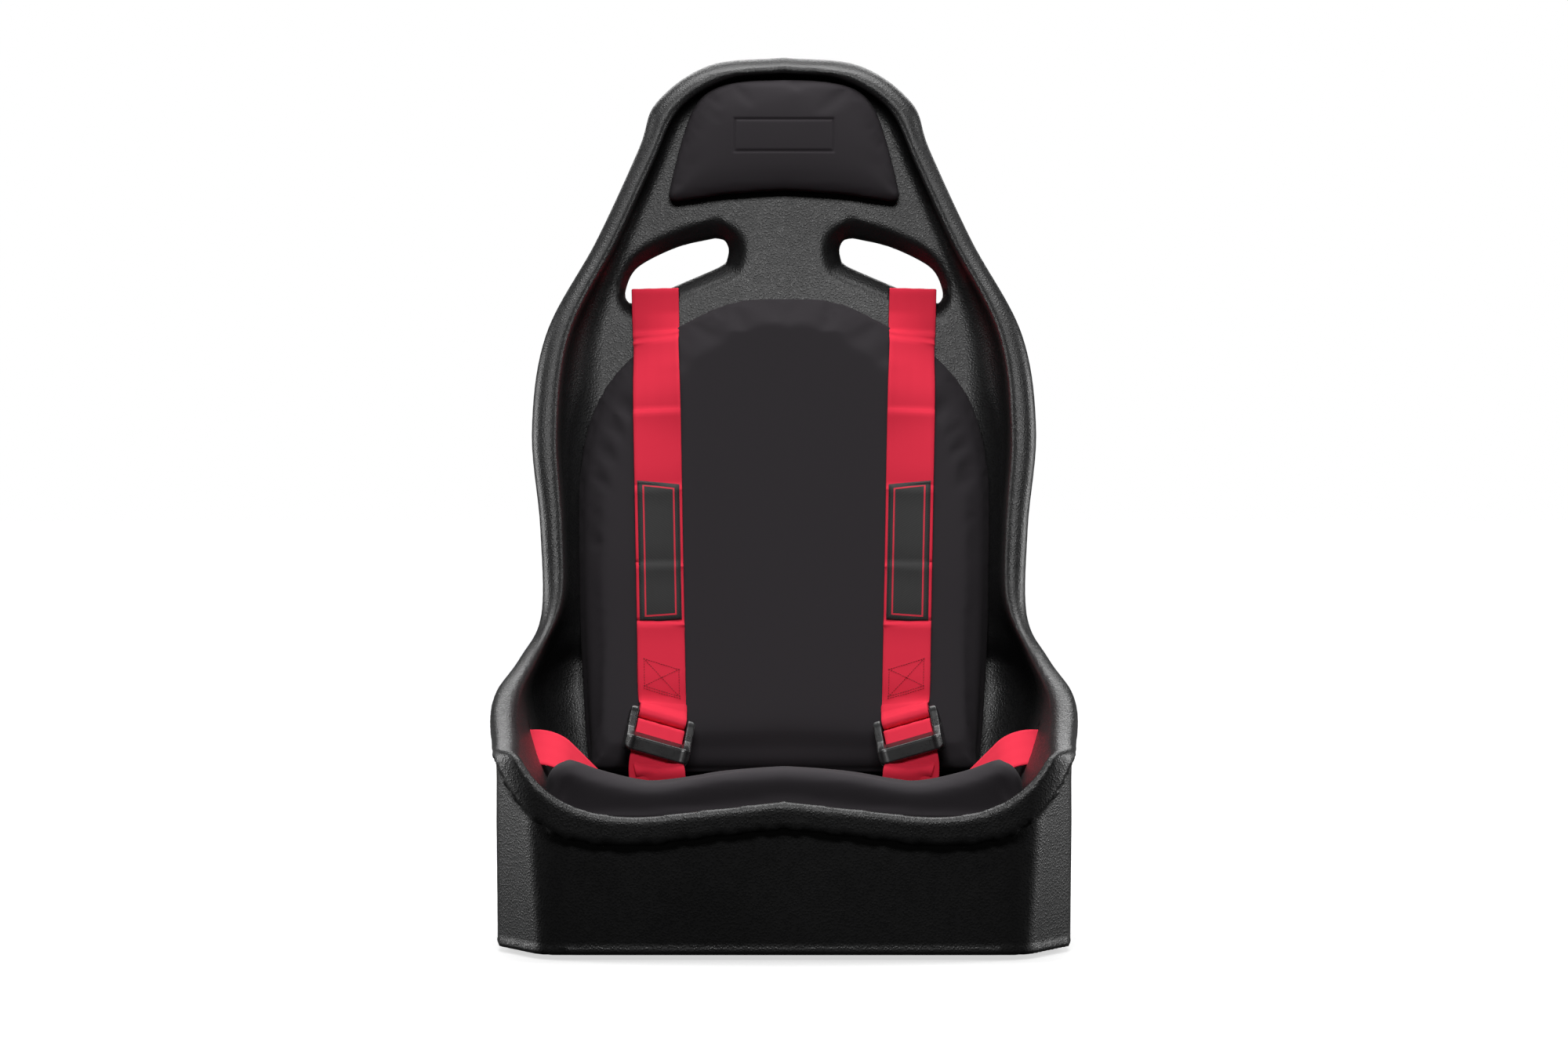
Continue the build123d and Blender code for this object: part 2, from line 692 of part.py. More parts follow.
# the buckle, from its top bar's axis
buckle_edge = on_edge(buckle_plane)
buckle_inside = webbing_width / 2 + buckle_side_gap
buckle_outside = buckle_inside + cheek_thickness
cheek_round = bar_height - running_gap - 0.2
plate_back = lock_bar_height + lock_loop_half + webbing_thickness / 2 + 0.5
buckle_front = plate_back + front_plate_thickness
slot_middle = (lock_bar_height, -lock_bar_drop - lock_bar_travel / 2)
with BuildPart() as adjuster_frame:
    for side in (-buckle_outside, buckle_inside):
        with BuildSketch(buckle_edge.offset(side)) as cheek:
            Circle(cheek_round)
            with BuildLine():
                Polyline(
                    (-cheek_round, 0),
                    (-cheek_round, -buckle_length),
                    (buckle_front, -buckle_length),
                    (buckle_front, -buckle_length / 3),
                    (cheek_round * cos(radians(30)), cheek_round * sin(radians(30))),
                    close=True,
                )
            make_face()
            fillet(cheek.vertices().group_by(Axis.Y)[0], radius=3)
            with Locations(slot_middle):
                SlotCenterToCenter(
                    lock_bar_travel, 2 * (lock_pin_radius + running_gap), rotation=90, mode=Mode.SUBTRACT
                )
        extrude(cheek.sketch, amount=cheek_thickness)
    with BuildSketch(buckle_edge.offset(-buckle_inside)) as crossings:
        Circle(bar_radius)
        with Locations((plate_back + front_plate_thickness / 2, -buckle_length + front_plate_height / 2)):
            RectangleRounded(front_plate_thickness, front_plate_height, 1)
    extrude(crossings.sketch, amount=2 * buckle_inside)

with BuildPart() as lock_bar:
    with BuildSketch(buckle_edge.offset(-buckle_inside + running_gap)) as barrel:
        with Locations((lock_bar_height, -lock_bar_drop)):
            Circle(lock_bar_radius)
    extrude(barrel.sketch, amount=2 * (buckle_inside - running_gap))
    with BuildSketch(buckle_edge.offset(-buckle_outside)) as pins:
        with Locations((lock_bar_height, -lock_bar_drop)):
            Circle(lock_pin_radius)
    extrude(pins.sketch, amount=2 * buckle_outside)

lower_belt_x = wide(125)
lock_loop_top = lock_loop_half - lock_bar_drop
lock_loop_front = lock_bar_height + lock_loop_half
lock_loop = [
    (-loop_half, -buckle_length - 15),
    (-loop_half, lock_loop_top),
    (lock_loop_front, lock_loop_top),
    (lock_loop_front, -buckle_length),
    (second_layer, -buckle_length - 17),
]
belt_tail = [
    over_buckle(-buckle_length - 11, -loop_half),
    over_buckle(-buckle_length - 21, -loop_half),
    (deep(86), tall(118)),
]
with BuildPart() as lower_belt:
    add(ribbon(buckle_edge, lock_loop, [lock_turn, lock_turn, 8]))
    add(ribbon(Plane.YZ.offset(lower_belt_x), belt_tail, [12]))

# in the lap belt's own plane, x goes outwards and y goes up the side wall, from the hip slot
lap_belt_plane = Plane(origin=(0, *hip_slot_centre), x_dir=(1, 0, 0), z_dir=-hip_along)
lap_inside = plinth_half + inner_layer
lap_outside = plinth_half + outer_layer
lap_route = [
    (lap_inside, sewn_end - lap_reach),
    (lap_inside, webbing_seat - lap_reach),
    (lap_outside, webbing_seat - lap_reach),
    (lap_outside, 0),
    (wide(226), 0),
    (wide(166), -84),
]
with BuildPart() as lap_belt:
    add(ribbon(lap_belt_plane, lap_route, [anchor_turn, anchor_turn, 5, 40]))


def anchor_plate(plane):
    """A flat steel plate with a bolt hole and a slot for webbing."""
    shoulder_half = webbing_width / 2 + 6
    flat = plane.offset(plate_standoff)
    with BuildPart() as plate:
        with BuildSketch(flat) as outline:
            Circle(14)
            with BuildLine():
                Polyline(
                    (-12.5, -6),
                    (12.5, -6),
                    (shoulder_half, plate_reach - 18),
                    (shoulder_half, plate_reach),
                    (-shoulder_half, plate_reach),
                    (-shoulder_half, plate_reach - 18),
                    close=True,
                )
            make_face()
            fillet(outline.vertices(), radius=4)
            Circle(bolt_radius + bolt_clearance, mode=Mode.SUBTRACT)
            with Locations((0, plate_reach - plate_bar - plate_slot / 2)):
                RectangleRounded(webbing_width + 2, plate_slot, 2, mode=Mode.SUBTRACT)
        extrude(outline.sketch, amount=plate_thickness)
    return plate.part


with BuildPart() as lap_anchor_plate:
    add(anchor_plate(lap_plane))

with BuildPart() as shoulder_anchor_plate:
    add(anchor_plate(shoulder_plane))

pairs = {
    "shoulder_belt": shoulder_belt,
    "belt_badge": belt_badge,
    "adjuster_frame": adjuster_frame,
    "lock_bar": lock_bar,
    "lower_belt": lower_belt,
    "lap_belt": lap_belt,
    "lap_anchor_plate": lap_anchor_plate,
    "shoulder_anchor_plate": shoulder_anchor_plate,
}
for name, piece in pairs.items():
    with BuildPart() as twin:
        mirror(piece.part, about=Plane.YZ)
    piece.part.label = f"{name}_right"
    export_step(piece.part, f"parts/{name}_right.step")
    twin.part.label = f"{name}_left"
    export_step(twin.part, f"parts/{name}_left.step")
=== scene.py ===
from itertools import product
from math import atan2, cos, hypot, pi, radians, sin, sqrt

import bmesh
import bpy
import numpy as np
from bpy.props import FloatProperty, FloatVectorProperty, IntProperty, PointerProperty
from bpy.types import Operator, Panel, PropertyGroup
from mathutils import Matrix, Vector
from mathutils.bvhtree import BVHTree


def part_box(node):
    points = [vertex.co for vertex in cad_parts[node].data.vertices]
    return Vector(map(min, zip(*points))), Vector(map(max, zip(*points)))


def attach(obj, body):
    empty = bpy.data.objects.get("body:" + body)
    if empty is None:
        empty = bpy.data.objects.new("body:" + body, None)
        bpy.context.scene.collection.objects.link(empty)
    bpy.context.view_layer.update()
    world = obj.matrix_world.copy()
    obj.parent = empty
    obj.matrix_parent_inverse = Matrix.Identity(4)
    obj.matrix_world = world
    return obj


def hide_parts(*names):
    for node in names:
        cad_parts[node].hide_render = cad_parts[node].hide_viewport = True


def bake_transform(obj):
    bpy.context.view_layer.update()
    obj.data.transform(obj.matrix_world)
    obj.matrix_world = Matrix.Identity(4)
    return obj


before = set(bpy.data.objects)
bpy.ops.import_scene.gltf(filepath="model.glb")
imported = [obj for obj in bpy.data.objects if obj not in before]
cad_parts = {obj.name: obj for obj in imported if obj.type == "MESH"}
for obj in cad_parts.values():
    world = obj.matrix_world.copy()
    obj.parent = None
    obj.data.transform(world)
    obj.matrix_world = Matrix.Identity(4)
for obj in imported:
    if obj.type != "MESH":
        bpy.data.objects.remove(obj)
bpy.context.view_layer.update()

bl_info = {
    "name": "Racing seat",
    "version": (1, 0, 0),
    "blender": (4, 5, 0),
    "location": "View3D > Sidebar > Racing seat",
    "description": "Builds a moulded bucket seat with pads and belts round its packed frame",
    "category": "Add Mesh",
}

MM = 0.001
SHELL_LOW, SHELL_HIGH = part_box("shell")

# ------------------------------------------------------------------ the drawn outlines, in millimetres
DRAWN_WIDTH, DRAWN_HEIGHT = 576.0, 900.0
WIDE = (SHELL_HIGH.x - SHELL_LOW.x) / MM / DRAWN_WIDTH
TALL = SHELL_HIGH.z / MM / DRAWN_HEIGHT
PLINTH_HALF = 275.0
OUTER_HALF = [(275, 0), (275, 60), (275, 120), (275, 180), (288, 228), (266, 268), (247, 310),
    (250, 400),
              (260, 500), (247, 600), (197, 700), (154, 800), (136, 850), (80, 891), (0, 900)]
BUCKET_HALF = [(0, 880), (62, 873), (112, 840), (140, 780), (175, 700), (222, 600), (233, 500),
               (226, 400), (225, 325), (246, 270), (259, 228), (240, 180), (200, 148), (145, 136.5),
               (70, 143), (0, 151)]
ROLL_FOOT = [(0, 129), (70, 121), (145, 113), (204, 120), (226, 132), (243, 146), (258, 164),
    (268, 182),
             (300, 230)]
RIM_SIDE = [(283, 880), (262, 800), (222, 700), (170, 600), (133, 500), (105, 400), (78, 325),
            (25, 280), (-60, 248), (-150, 218), (-225, 200), (-300, 192)]
SLOT_MOUTH = [(70, 725), (47, 709), (41, 690), (46, 671), (60, 661), (115, 639), (158, 621),
    (171, 627), (175, 649),
              (167, 673), (152, 692), (118, 710), (87, 721)]
SLOT_THROAT = [(74, 706), (64, 704), (59, 694), (61, 682), (68, 675), (118, 653), (158, 636),
    (168, 640), (169, 650),
               (162, 668), (147, 681), (112, 697)]
BACK_FOOT, BACK_HEAD, BACK_RADIUS, BACK_THICKNESS = (140.0, 160.0), (308.0, 900.0), 3000.0, 50.0
LIP_FRONT, PLINTH_FRONT = -300.0, -285.0
PAN_FRONT, PAN_REAR, PAN_HALF = (-272.0, 128.0), (66.0, 90.0), 230.0
HIP_SLOT, HIP_TILT = (-20.0, 182.0), radians(40)


def arc_centre():
    chord = Vector((BACK_HEAD[0] - BACK_FOOT[0], BACK_HEAD[1] - BACK_FOOT[1]))
    rise = sqrt(BACK_RADIUS**2 - (chord.length / 2) ** 2)
    middle = (Vector(BACK_HEAD) + Vector(BACK_FOOT)) / 2
    return middle + Vector((-chord.y, chord.x)).normalized() * rise


ARC_CENTRE = arc_centre()


def back_y(height, offset=0.0):
    """The backrest face's place along Y at a height, moved back by an offset."""
    return ARC_CENTRE.x + np.sqrt((BACK_RADIUS + offset) ** 2 - (height - ARC_CENTRE.y) ** 2)


# ------------------------------------------------------------------ curves and distance fields
def smooth_line(points, step=8.0):
    """A Catmull-Rom curve through points, cut into runs of about a step."""
    p = np.array(points, float)
    p = np.vstack([2 * p[0] - p[1], p, 2 * p[-1] - p[-2]])
    out = []
    for a, b, c, d in zip(p, p[1:], p[2:], p[3:]):
        n = max(1, round(np.linalg.norm(c - b) / step))
        for t in np.arange(n) / n:
            out.append(0.5 * (2 * b + (c - a) * t + (2 * a - 5 * b + 4 * c - d) * t**2
                              + (3 * b - a - 3 * c + d) * t**3))
    return np.array([*out, p[-2]])


def both_sides(half):
    """A closed outline from its right half, which starts and ends on the middle line."""
    return np.vstack([half, (half * (-1, 1))[::-1]])


def outline_distance(loop, a, b):
    """Signed distance to a closed outline, negative inside."""
    a, b = np.broadcast_arrays(a, b)
    nearest = np.full(a.shape, 1e9)
    inside = np.zeros(a.shape, bool)
    for p, q in zip(loop, np.roll(loop, -1, axis=0)):
        run = q - p
        length = run @ run
        if length < 1e-9:
            continue
        wa, wb = a - p[0], b - p[1]
        along = np.clip((wa * run[0] + wb * run[1]) / length, 0, 1)
        nearest = np.minimum(nearest, (wa - run[0] * along) ** 2 + (wb - run[1] * along) ** 2)
        if run[1]:
            inside ^= ((p[1] > b) != (q[1] > b)) & (a < run[0] * (b - p[1]) / run[1] + p[0])
    return np.where(inside, -1, 1) * np.sqrt(nearest)


def meet(a, b, radius):
    """Where two solids meet, with the edge between them rounded."""
    over_a, over_b = a + radius, b + radius
    rounded = np.hypot(np.maximum(over_a, 0), np.maximum(over_b, 0))
    return np.minimum(np.maximum(over_a, over_b), 0) + rounded - radius


def join(a, b, radius):
    """Two solids joined, with the corner between them filled."""
    return -meet(-a, -b, radius)


def ease(x, low, high):
    t = np.clip((x - low) / (high - low), 0, 1)
    return t * t * (3 - 2 * t)


def surface_net(field, axes):
    """A closed mesh of quads round the negative part of a field on a grid, a corner in each cell crossed."""
    inside = field < 0
    shape = [n - 1 for n in field.shape]
    corners = list(product((0, 1), repeat=3))

    def shifted(array, offset):
        return array[tuple(slice(o, o + n) for o, n in zip(offset, shape))]

    count = sum(shifted(inside, c).astype(np.int8) for c in corners)
    cells = np.argwhere((count > 0) & (count < 8))
    index = np.full(shape, -1)
    index[tuple(cells.T)] = np.arange(len(cells))
    total, hits = np.zeros((len(cells), 3)), np.zeros(len(cells))
    for axis in range(3):
        for corner in corners:
            if corner[axis]:
                continue
            start = cells + corner
            end = start.copy()
            end[:, axis] += 1
            fa, fb = field[tuple(start.T)], field[tuple(end.T)]
            crossed = (fa < 0) != (fb < 0)
            point = start.astype(float)
            point[:, axis] += np.where(crossed, fa / np.where(crossed, fa - fb, 1), 0)
            total += point * crossed[:, None]
            hits += crossed
    places = total / hits[:, None]
    places = np.column_stack(
        [np.interp(places[:, i], np.arange(len(axes[i])), axes[i]) for i in range(3)])
    faces = []
    for axis in range(3):
        u, v = (axis + 1) % 3, (axis + 2) % 3
        low = inside.take(range(field.shape[axis] - 1), axis)
        high = inside.take(range(1, field.shape[axis]), axis)
        edges = np.argwhere(low != high)
        edges = edges[(edges[:, u] > 0) & (edges[:, v] > 0)]
        edges = edges[(edges[:, u] < shape[u]) & (edges[:, v] < shape[v])]
        leaving = low[tuple(edges.T)]
        quad = []
        for du, dv in ((1, 1), (0, 1), (0, 0), (1, 0)):
            cell = edges.copy()
            cell[:, u] -= du
            cell[:, v] -= dv
            quad.append(index[tuple(cell.T)])
        quad = np.column_stack(quad)
        faces.append(np.where(leaving[:, None], quad, quad[:, ::-1]))
    return places, np.vstack(faces)


def solid_from(field, axes, rounds=2):
    """Meshes a field and then draws its corners onto the exact surface."""
    grid = field(axes[0][:, None, None], axes[1][None, :, None], axes[2][None, None, :])
    places, faces = surface_net(grid, axes)
    slopes = np.gradient(grid, *axes)
    reach = min(np.diff(axis).min() for axis in axes)
    for _ in range(rounds):
        cell, part = [], []
        for i, axis in enumerate(axes):
            at = np.clip(np.searchsorted(axis, places[:, i]) - 1, 0, len(axis) - 2)
            cell.append(at)
            part.append((places[:, i] - axis[at]) / (axis[at + 1] - axis[at]))
        slope = np.zeros_like(places)
        for corner in product((0, 1), repeat=3):
            weight = np.prod([p if c else 1 - p for c, p in zip(corner, part)], axis=0)
            spot = tuple(a + c for a, c in zip(cell, corner))
            slope += weight[:, None] * np.column_stack([s[spot] for s in slopes])
        value = field(*places.T)
        steep = np.maximum((slope**2).sum(1), 0.25)
        step = np.clip(value / np.sqrt(steep), -reach, reach)
        places = places - slope / np.sqrt(steep)[:, None] * step[:, None]
    return places, faces


def mesh_object(name, places, faces, smooth=True):
    """A new object from places in metres and faces."""
    mesh = bpy.data.meshes.new(name)
    mesh.from_pydata([tuple(p) for p in places], [], [tuple(int(i) for i in f) for f in faces])
    mesh.validate()
    mesh.polygons.foreach_set("use_smooth", [smooth] * len(mesh.polygons))
    thing = bpy.data.objects.new(name, mesh)
    bpy.context.scene.collection.objects.link(thing)
    return thing


# ------------------------------------------------------------------ settings
class SeatColours(PropertyGroup):
    """Colours of the seat's finishes"""

    shell: FloatVectorProperty(name="Shell", description="Moulded shell's colour", subtype="COLOR",
        size=3,
                               min=0, max=1, default=(0.006, 0.006, 0.0063))
    fabric: FloatVectorProperty(name="Fabric", description="Pads' fabric colour", subtype="COLOR",
        size=3,
                                min=0, max=1, default=(0.0045, 0.0042, 0.0046))
    webbing: FloatVectorProperty(name="Webbing", description="Belts' colour", subtype="COLOR",
        size=3,
                                 min=0, max=1, default=(0.80, 0.011, 0.045))
    buckle: FloatVectorProperty(name="Buckle", description="Adjusters' coating", subtype="COLOR",
        size=3,
                                min=0, max=1, default=(0.009, 0.009, 0.0095))


class SeatShell(PropertyGroup):
    """Sizes of the moulded shell"""

    pitch: FloatProperty(name="Pitch", description="Size of the mesh's squares", unit="LENGTH",
                         default=0.0042, min=0.003, max=0.02)
    rim_round: FloatProperty(name="Rim rounding", description="Radius of the rolled rim",
        unit="LENGTH",
                             default=0.014, min=0.002, max=0.02)
    lip_round: FloatProperty(name="Lip rounding", description="Radius of the rim's inner edge",
        unit="LENGTH",
                             default=0.008, min=0.002, max=0.02)
    back_round: FloatProperty(name="Back rounding", description="Radius of the rear edges",
        unit="LENGTH",
                              default=0.03, min=0.002, max=0.05)
    slot_round: FloatProperty(name="Slot rounding", description="Radius round the belt slots",
        unit="LENGTH",
                              default=0.004, min=0.001, max=0.015)
    corner_round: FloatProperty(name="Corner rounding",
        description="Radius of the plinth's corners", unit="LENGTH",
                                default=0.09, min=0.01, max=0.15)
    bolster_round: FloatProperty(name="Bolster rounding",
        description="Radius where the sides meet the backrest",
                                 unit="LENGTH", default=0.045, min=0.01, max=0.08)


class SeatStage(PropertyGroup):
    """Camera and light"""

    lens: FloatProperty(name="Lens", description="Focal length in millimetres", default=99.0,
        min=20, max=200)
    camera_distance: FloatProperty(name="Camera distance",
        description="Camera's distance from the middle",
                                   unit="LENGTH", default=4.3, min=1, max=20)
    camera_height: FloatProperty(name="Camera height", description="Camera's height over the floor",
                                 unit="LENGTH", default=0.452, min=0, max=5)
    camera_tilt: FloatProperty(name="Camera tilt", description="How far the camera looks down",
        unit="ROTATION",
                               default=radians(0.62), min=-1, max=1)
    light: FloatProperty(name="Light", description="Strength of all the lamps", default=1.0, min=0,
        max=10)
    surround: FloatProperty(name="Surround", description="Strength of the white surround",
        default=0.03, min=0, max=5)
    floor_glow: FloatProperty(name="Floor glow",
        description="How much the floor near the seat glows by itself",
                              default=0.62, min=0, max=1)
    floor_radius: FloatProperty(name="Floor radius", description="Radius of the floor",
        unit="LENGTH", default=40.0,
                                min=2, max=200)
    floor_colour: FloatVectorProperty(name="Floor colour", description="Floor's paint",
        subtype="COLOR", size=3,
                                      min=0, max=1, default=(0.45, 0.45, 0.45))


class SeatPads(PropertyGroup):
    """How the pads are made and stuffed"""

    pitch: FloatProperty(name="Pitch", description="Size of the cloth's squares before smoothing",
        unit="LENGTH",
                         default=0.0055, min=0.003, max=0.02)
    pressure: FloatProperty(name="Pressure", description="Stuffing's push on the cover",
        default=4.0, min=0, max=20)
    frames: IntProperty(name="Frames", description="Steps of the cloth simulation", default=20,
        min=5, max=60)
    puff_start: FloatProperty(name="Starting inset",
        description="How much smaller the cover starts", unit="LENGTH",
                              default=0.003, min=0, max=0.02)
    puff_cap: FloatProperty(name="Swell limit", description="The most the cover may move",
        unit="LENGTH",
                            default=0.006, min=0, max=0.03)


class SeatHardware(PropertyGroup):
    """Sizes of the belts' metalwork"""

    adjuster_pitch: FloatProperty(name="Adjuster pitch",
        description="Size of the adjuster mesh's squares",
                                  unit="LENGTH", default=0.0009, min=0.0005, max=0.003)


# ------------------------------------------------------------------ material helpers
def add(tree, kind, inputs=(), **settings):
    """A node with its settings, and each input linked to a socket or set to a value."""
    item = tree.nodes.new(kind)
    for name, value in settings.items():
        setattr(item, name, value)
    for name, value in dict(inputs).items():
        if isinstance(value, bpy.types.NodeSocket):
            tree.links.new(value, item.inputs[name])
        else:
            item.inputs[name].default_value = value
    return item


def maths(tree, operation, *values, clamp=False):
    return add(tree, "ShaderNodeMath", enumerate(values), operation=operation,
        use_clamp=clamp).outputs[0]


def blend_colours(tree, share, first, second, kind="MIX"):
    item = add(tree, "ShaderNodeMix", data_type="RGBA", blend_type=kind)
    for index, value in ((0, share), (6, first), (7, second)):
        if isinstance(value, bpy.types.NodeSocket):
            tree.links.new(value, item.inputs[index])
        else:
            item.inputs[index].default_value = value
    return item.outputs[2]


def spread(tree, value, low, high, to_low=0.0, to_high=1.0):
    """A value's range moved to another, clamped."""
    return add(
        tree,
        "ShaderNodeMapRange",
        {"Value": value, "From Min": low, "From Max": high, "To Min": to_low, "To Max": to_high},
        interpolation_type="SMOOTHSTEP",
    ).outputs[0]


def group_tree(name, inputs, outputs):
    """A shader node group with named inputs (name: default) and outputs (name: kind)."""
    tree = bpy.data.node_groups.new(name, "ShaderNodeTree")
    for label, default in inputs.items():
        kind = "NodeSocketVector" if default is None else "NodeSocketFloat"
        socket = tree.interface.new_socket(label, in_out="INPUT", socket_type=kind)
        if default is not None:
            socket.default_value = default
    for label, kind in outputs.items():
        tree.interface.new_socket(label, in_out="OUTPUT", socket_type="NodeSocket" + kind)
    return tree, tree.nodes.new("NodeGroupInput").outputs, tree.nodes.new("NodeGroupOutput")


def use_group(tree, name, **values):
    """A shared node group placed in a material with its own values."""
    maker = GROUPS[name]
    shared = bpy.data.node_groups.get(name) or maker()
    item = add(tree, "ShaderNodeGroup", node_tree=shared)
    for label, value in values.items():
        socket = item.inputs[label.replace("_", " ")]
        if isinstance(value, bpy.types.NodeSocket):
            tree.links.new(value, socket)
        else:
            socket.default_value = value
    return item.outputs


def pebble_grain():
    """Leather-like pebbles of a moulded skin: a height, and a mask of the valleys."""
    tree, given, out = group_tree(
        "Pebble grain", {"Vector": None, "Pebble size": 0.002, "Softness": 0.5},
            {"Height": "Float", "Valley": "Float"}
    )
    scale = maths(tree, "DIVIDE", 1.0, given["Pebble size"])
    bend = add(tree, "ShaderNodeTexNoise",
        {"Vector": given["Vector"], "Scale": 900.0, "Detail": 2.0})
    shifted = add(tree, "ShaderNodeMix", {0: 0.0006}, data_type="VECTOR")
    tree.links.new(given["Vector"], shifted.inputs[4])
    tree.links.new(bend.outputs["Color"], shifted.inputs[5])
    cells = add(
        tree,
        "ShaderNodeTexVoronoi",
        {"Vector": shifted.outputs[1], "Scale": scale, "Smoothness": given["Softness"]},
        feature="SMOOTH_F1",
    )
    fine = add(tree, "ShaderNodeTexNoise",
        {"Vector": given["Vector"], "Scale": maths(tree, "MULTIPLY", scale, 3.0)})
    dome = spread(tree, cells.outputs["Distance"], 0.1, 0.62, 1.0, 0.0)
    height = maths(tree, "ADD", dome, maths(tree, "MULTIPLY", fine.outputs["Fac"], 0.25))
    tree.links.new(height, out.inputs["Height"])
    tree.links.new(spread(tree, dome, 0.0, 0.35, 1.0, 0.0), out.inputs["Valley"])
    return tree


def patchy_tone():
    """Slow and fine variation over a surface, as handling and dust leave."""
    tree, given, out = group_tree(
        "Patchy tone", {"Vector": None, "Patch size": 0.08, "Fine size": 0.006, "Contrast": 0.5},
            {"Tone": "Float"}
    )
    broad = add(
        tree,
        "ShaderNodeTexNoise",
        {"Vector": given["Vector"], "Scale": maths(tree, "DIVIDE", 1.0, given["Patch size"]),
            "Detail": 3.0},
    )
    fine = add(
        tree,
        "ShaderNodeTexNoise",
        {"Vector": given["Vector"], "Scale": maths(tree, "DIVIDE", 1.0, given["Fine size"]),
            "Detail": 2.0},
    )
    both = maths(tree, "ADD", maths(tree, "MULTIPLY", broad.outputs["Fac"], 0.65),
        maths(tree, "MULTIPLY", fine.outputs["Fac"], 0.35))
    centred = maths(tree, "MULTIPLY", maths(tree, "SUBTRACT", both, 0.5), given["Contrast"])
    tree.links.new(maths(tree, "ADD", maths(tree, "MULTIPLY", centred, 4.0), 0.5, clamp=True),
        out.inputs["Tone"])
    return tree


def edge_wear():
    """A mask of rubbed outer edges, broken up by noise."""
    tree, given, out = group_tree(
        "Edge wear", {"Vector": None, "Break size": 0.004, "Amount": 0.5}, {"Mask": "Float"}
    )
    shape = add(tree, "ShaderNodeNewGeometry")
    noise = add(
        tree,
        "ShaderNodeTexNoise",
        {"Vector": given["Vector"], "Scale": maths(tree, "DIVIDE", 1.0, given["Break size"]),
            "Detail": 4.0},
    )
    edge = spread(tree, shape.outputs["Pointiness"], 0.515, 0.6)
    broken = maths(tree, "MULTIPLY", edge, spread(tree, noise.outputs["Fac"], 0.4, 0.62))
    tree.links.new(maths(tree, "MULTIPLY", broken, given["Amount"]), out.inputs["Mask"])
    return tree


def woven_ribs():
    """Strap weave on a strap's own map, in metres: ribs along it, crossed by a fine twill."""
    tree, given, out = group_tree(
        "Woven ribs",
        {"Vector": None, "Rib width": 0.0026, "Thread pitch": 0.0011},
        {"Height": "Float", "Thread": "Float", "Rib": "Float"},
    )
    parts = add(tree, "ShaderNodeSeparateXYZ", {0: given["Vector"]}).outputs
    across = maths(tree, "MULTIPLY", maths(tree, "DIVIDE", parts[0], given["Rib width"]), 2 * pi)
    rib = maths(tree, "MULTIPLY_ADD", maths(tree, "COSINE", across), 0.5, 0.5)
    lean = maths(tree, "MULTIPLY",
        maths(tree, "ABSOLUTE", maths(tree, "SINE", maths(tree, "MULTIPLY", across, 0.5))), 0.6)
    along = maths(tree, "MULTIPLY",
        maths(tree, "ADD", maths(tree, "DIVIDE", parts[1], given["Thread pitch"]), lean), 2 * pi)
    thread = maths(tree, "MULTIPLY_ADD", maths(tree, "COSINE", along), 0.5, 0.5)
    height = maths(tree, "ADD", maths(tree, "MULTIPLY", rib, 0.6),
        maths(tree, "MULTIPLY", thread, 0.4))
    for label, value in (("Height", height), ("Thread", thread), ("Rib", rib)):
        tree.links.new(value, out.inputs[label])
    return tree


def knit_nap():
    """Short nap over a fine knit: a height and a fleck mask."""
    tree, given, out = group_tree(
        "Knit nap", {"Vector": None, "Loop size": 0.0014, "Fleck size": 0.0035},
            {"Height": "Float", "Fleck": "Float"}
    )
    loops = add(
        tree,
        "ShaderNodeTexVoronoi",
        {"Vector": given["Vector"], "Scale": maths(tree, "DIVIDE", 1.0, given["Loop size"])},
        feature="F1",
    )
    fuzz_and_groove_shade = add(
        tree,
        "ShaderNodeTexNoise",
        {"Vector": given["Vector"], "Scale": maths(tree, "DIVIDE", 1.0, given["Fleck size"]),
            "Detail": 4.0, "Roughness": 0.7},
    )
    loop = spread(tree, loops.outputs["Distance"], 0.0, 0.75, 1.0, 0.0)
    height = maths(tree, "ADD", maths(tree, "MULTIPLY", loop, 0.6),
        maths(tree, "MULTIPLY", fuzz_and_groove_shade.outputs["Fac"], 0.8))
    tree.links.new(height, out.inputs["Height"])
    tree.links.new(spread(tree, fuzz_and_groove_shade.outputs["Fac"], 0.48, 0.72), out.inputs["Fleck"])
    return tree


GROUPS = {
    "Pebble grain": pebble_grain,
    "Patchy tone": patchy_tone,
    "Edge wear": edge_wear,
    "Woven ribs": woven_ribs,
    "Knit nap": knit_nap,
}


def finish_material(name, build, **plain):
    """A material made once: build links what varies, and plain sets what doesn't on the shader."""
    material = bpy.data.materials.get(name)
    if material:
        return material
    material = bpy.data.materials.new(name)
    material.use_nodes = True
    tree = material.node_tree
    shader = tree.nodes["Principled BSDF"]
    for label, value in plain.items():
        shader.inputs[label.replace("_", " ")].default_value = value
    coords = add(tree, "ShaderNodeTexCoord").outputs
    for label, socket in build(tree, coords).items():
        tree.links.new(socket, shader.inputs[label])
    return material


def bump(tree, height, distance, strength=1.0, normal=None):
    inputs = {"Height": height, "Distance": distance, "Strength": strength}
    if normal:
        inputs["Normal"] = normal
    return add(tree, "ShaderNodeBump", inputs).outputs[0]


def rgba(colour):
    return (*colour[:3], 1.0)


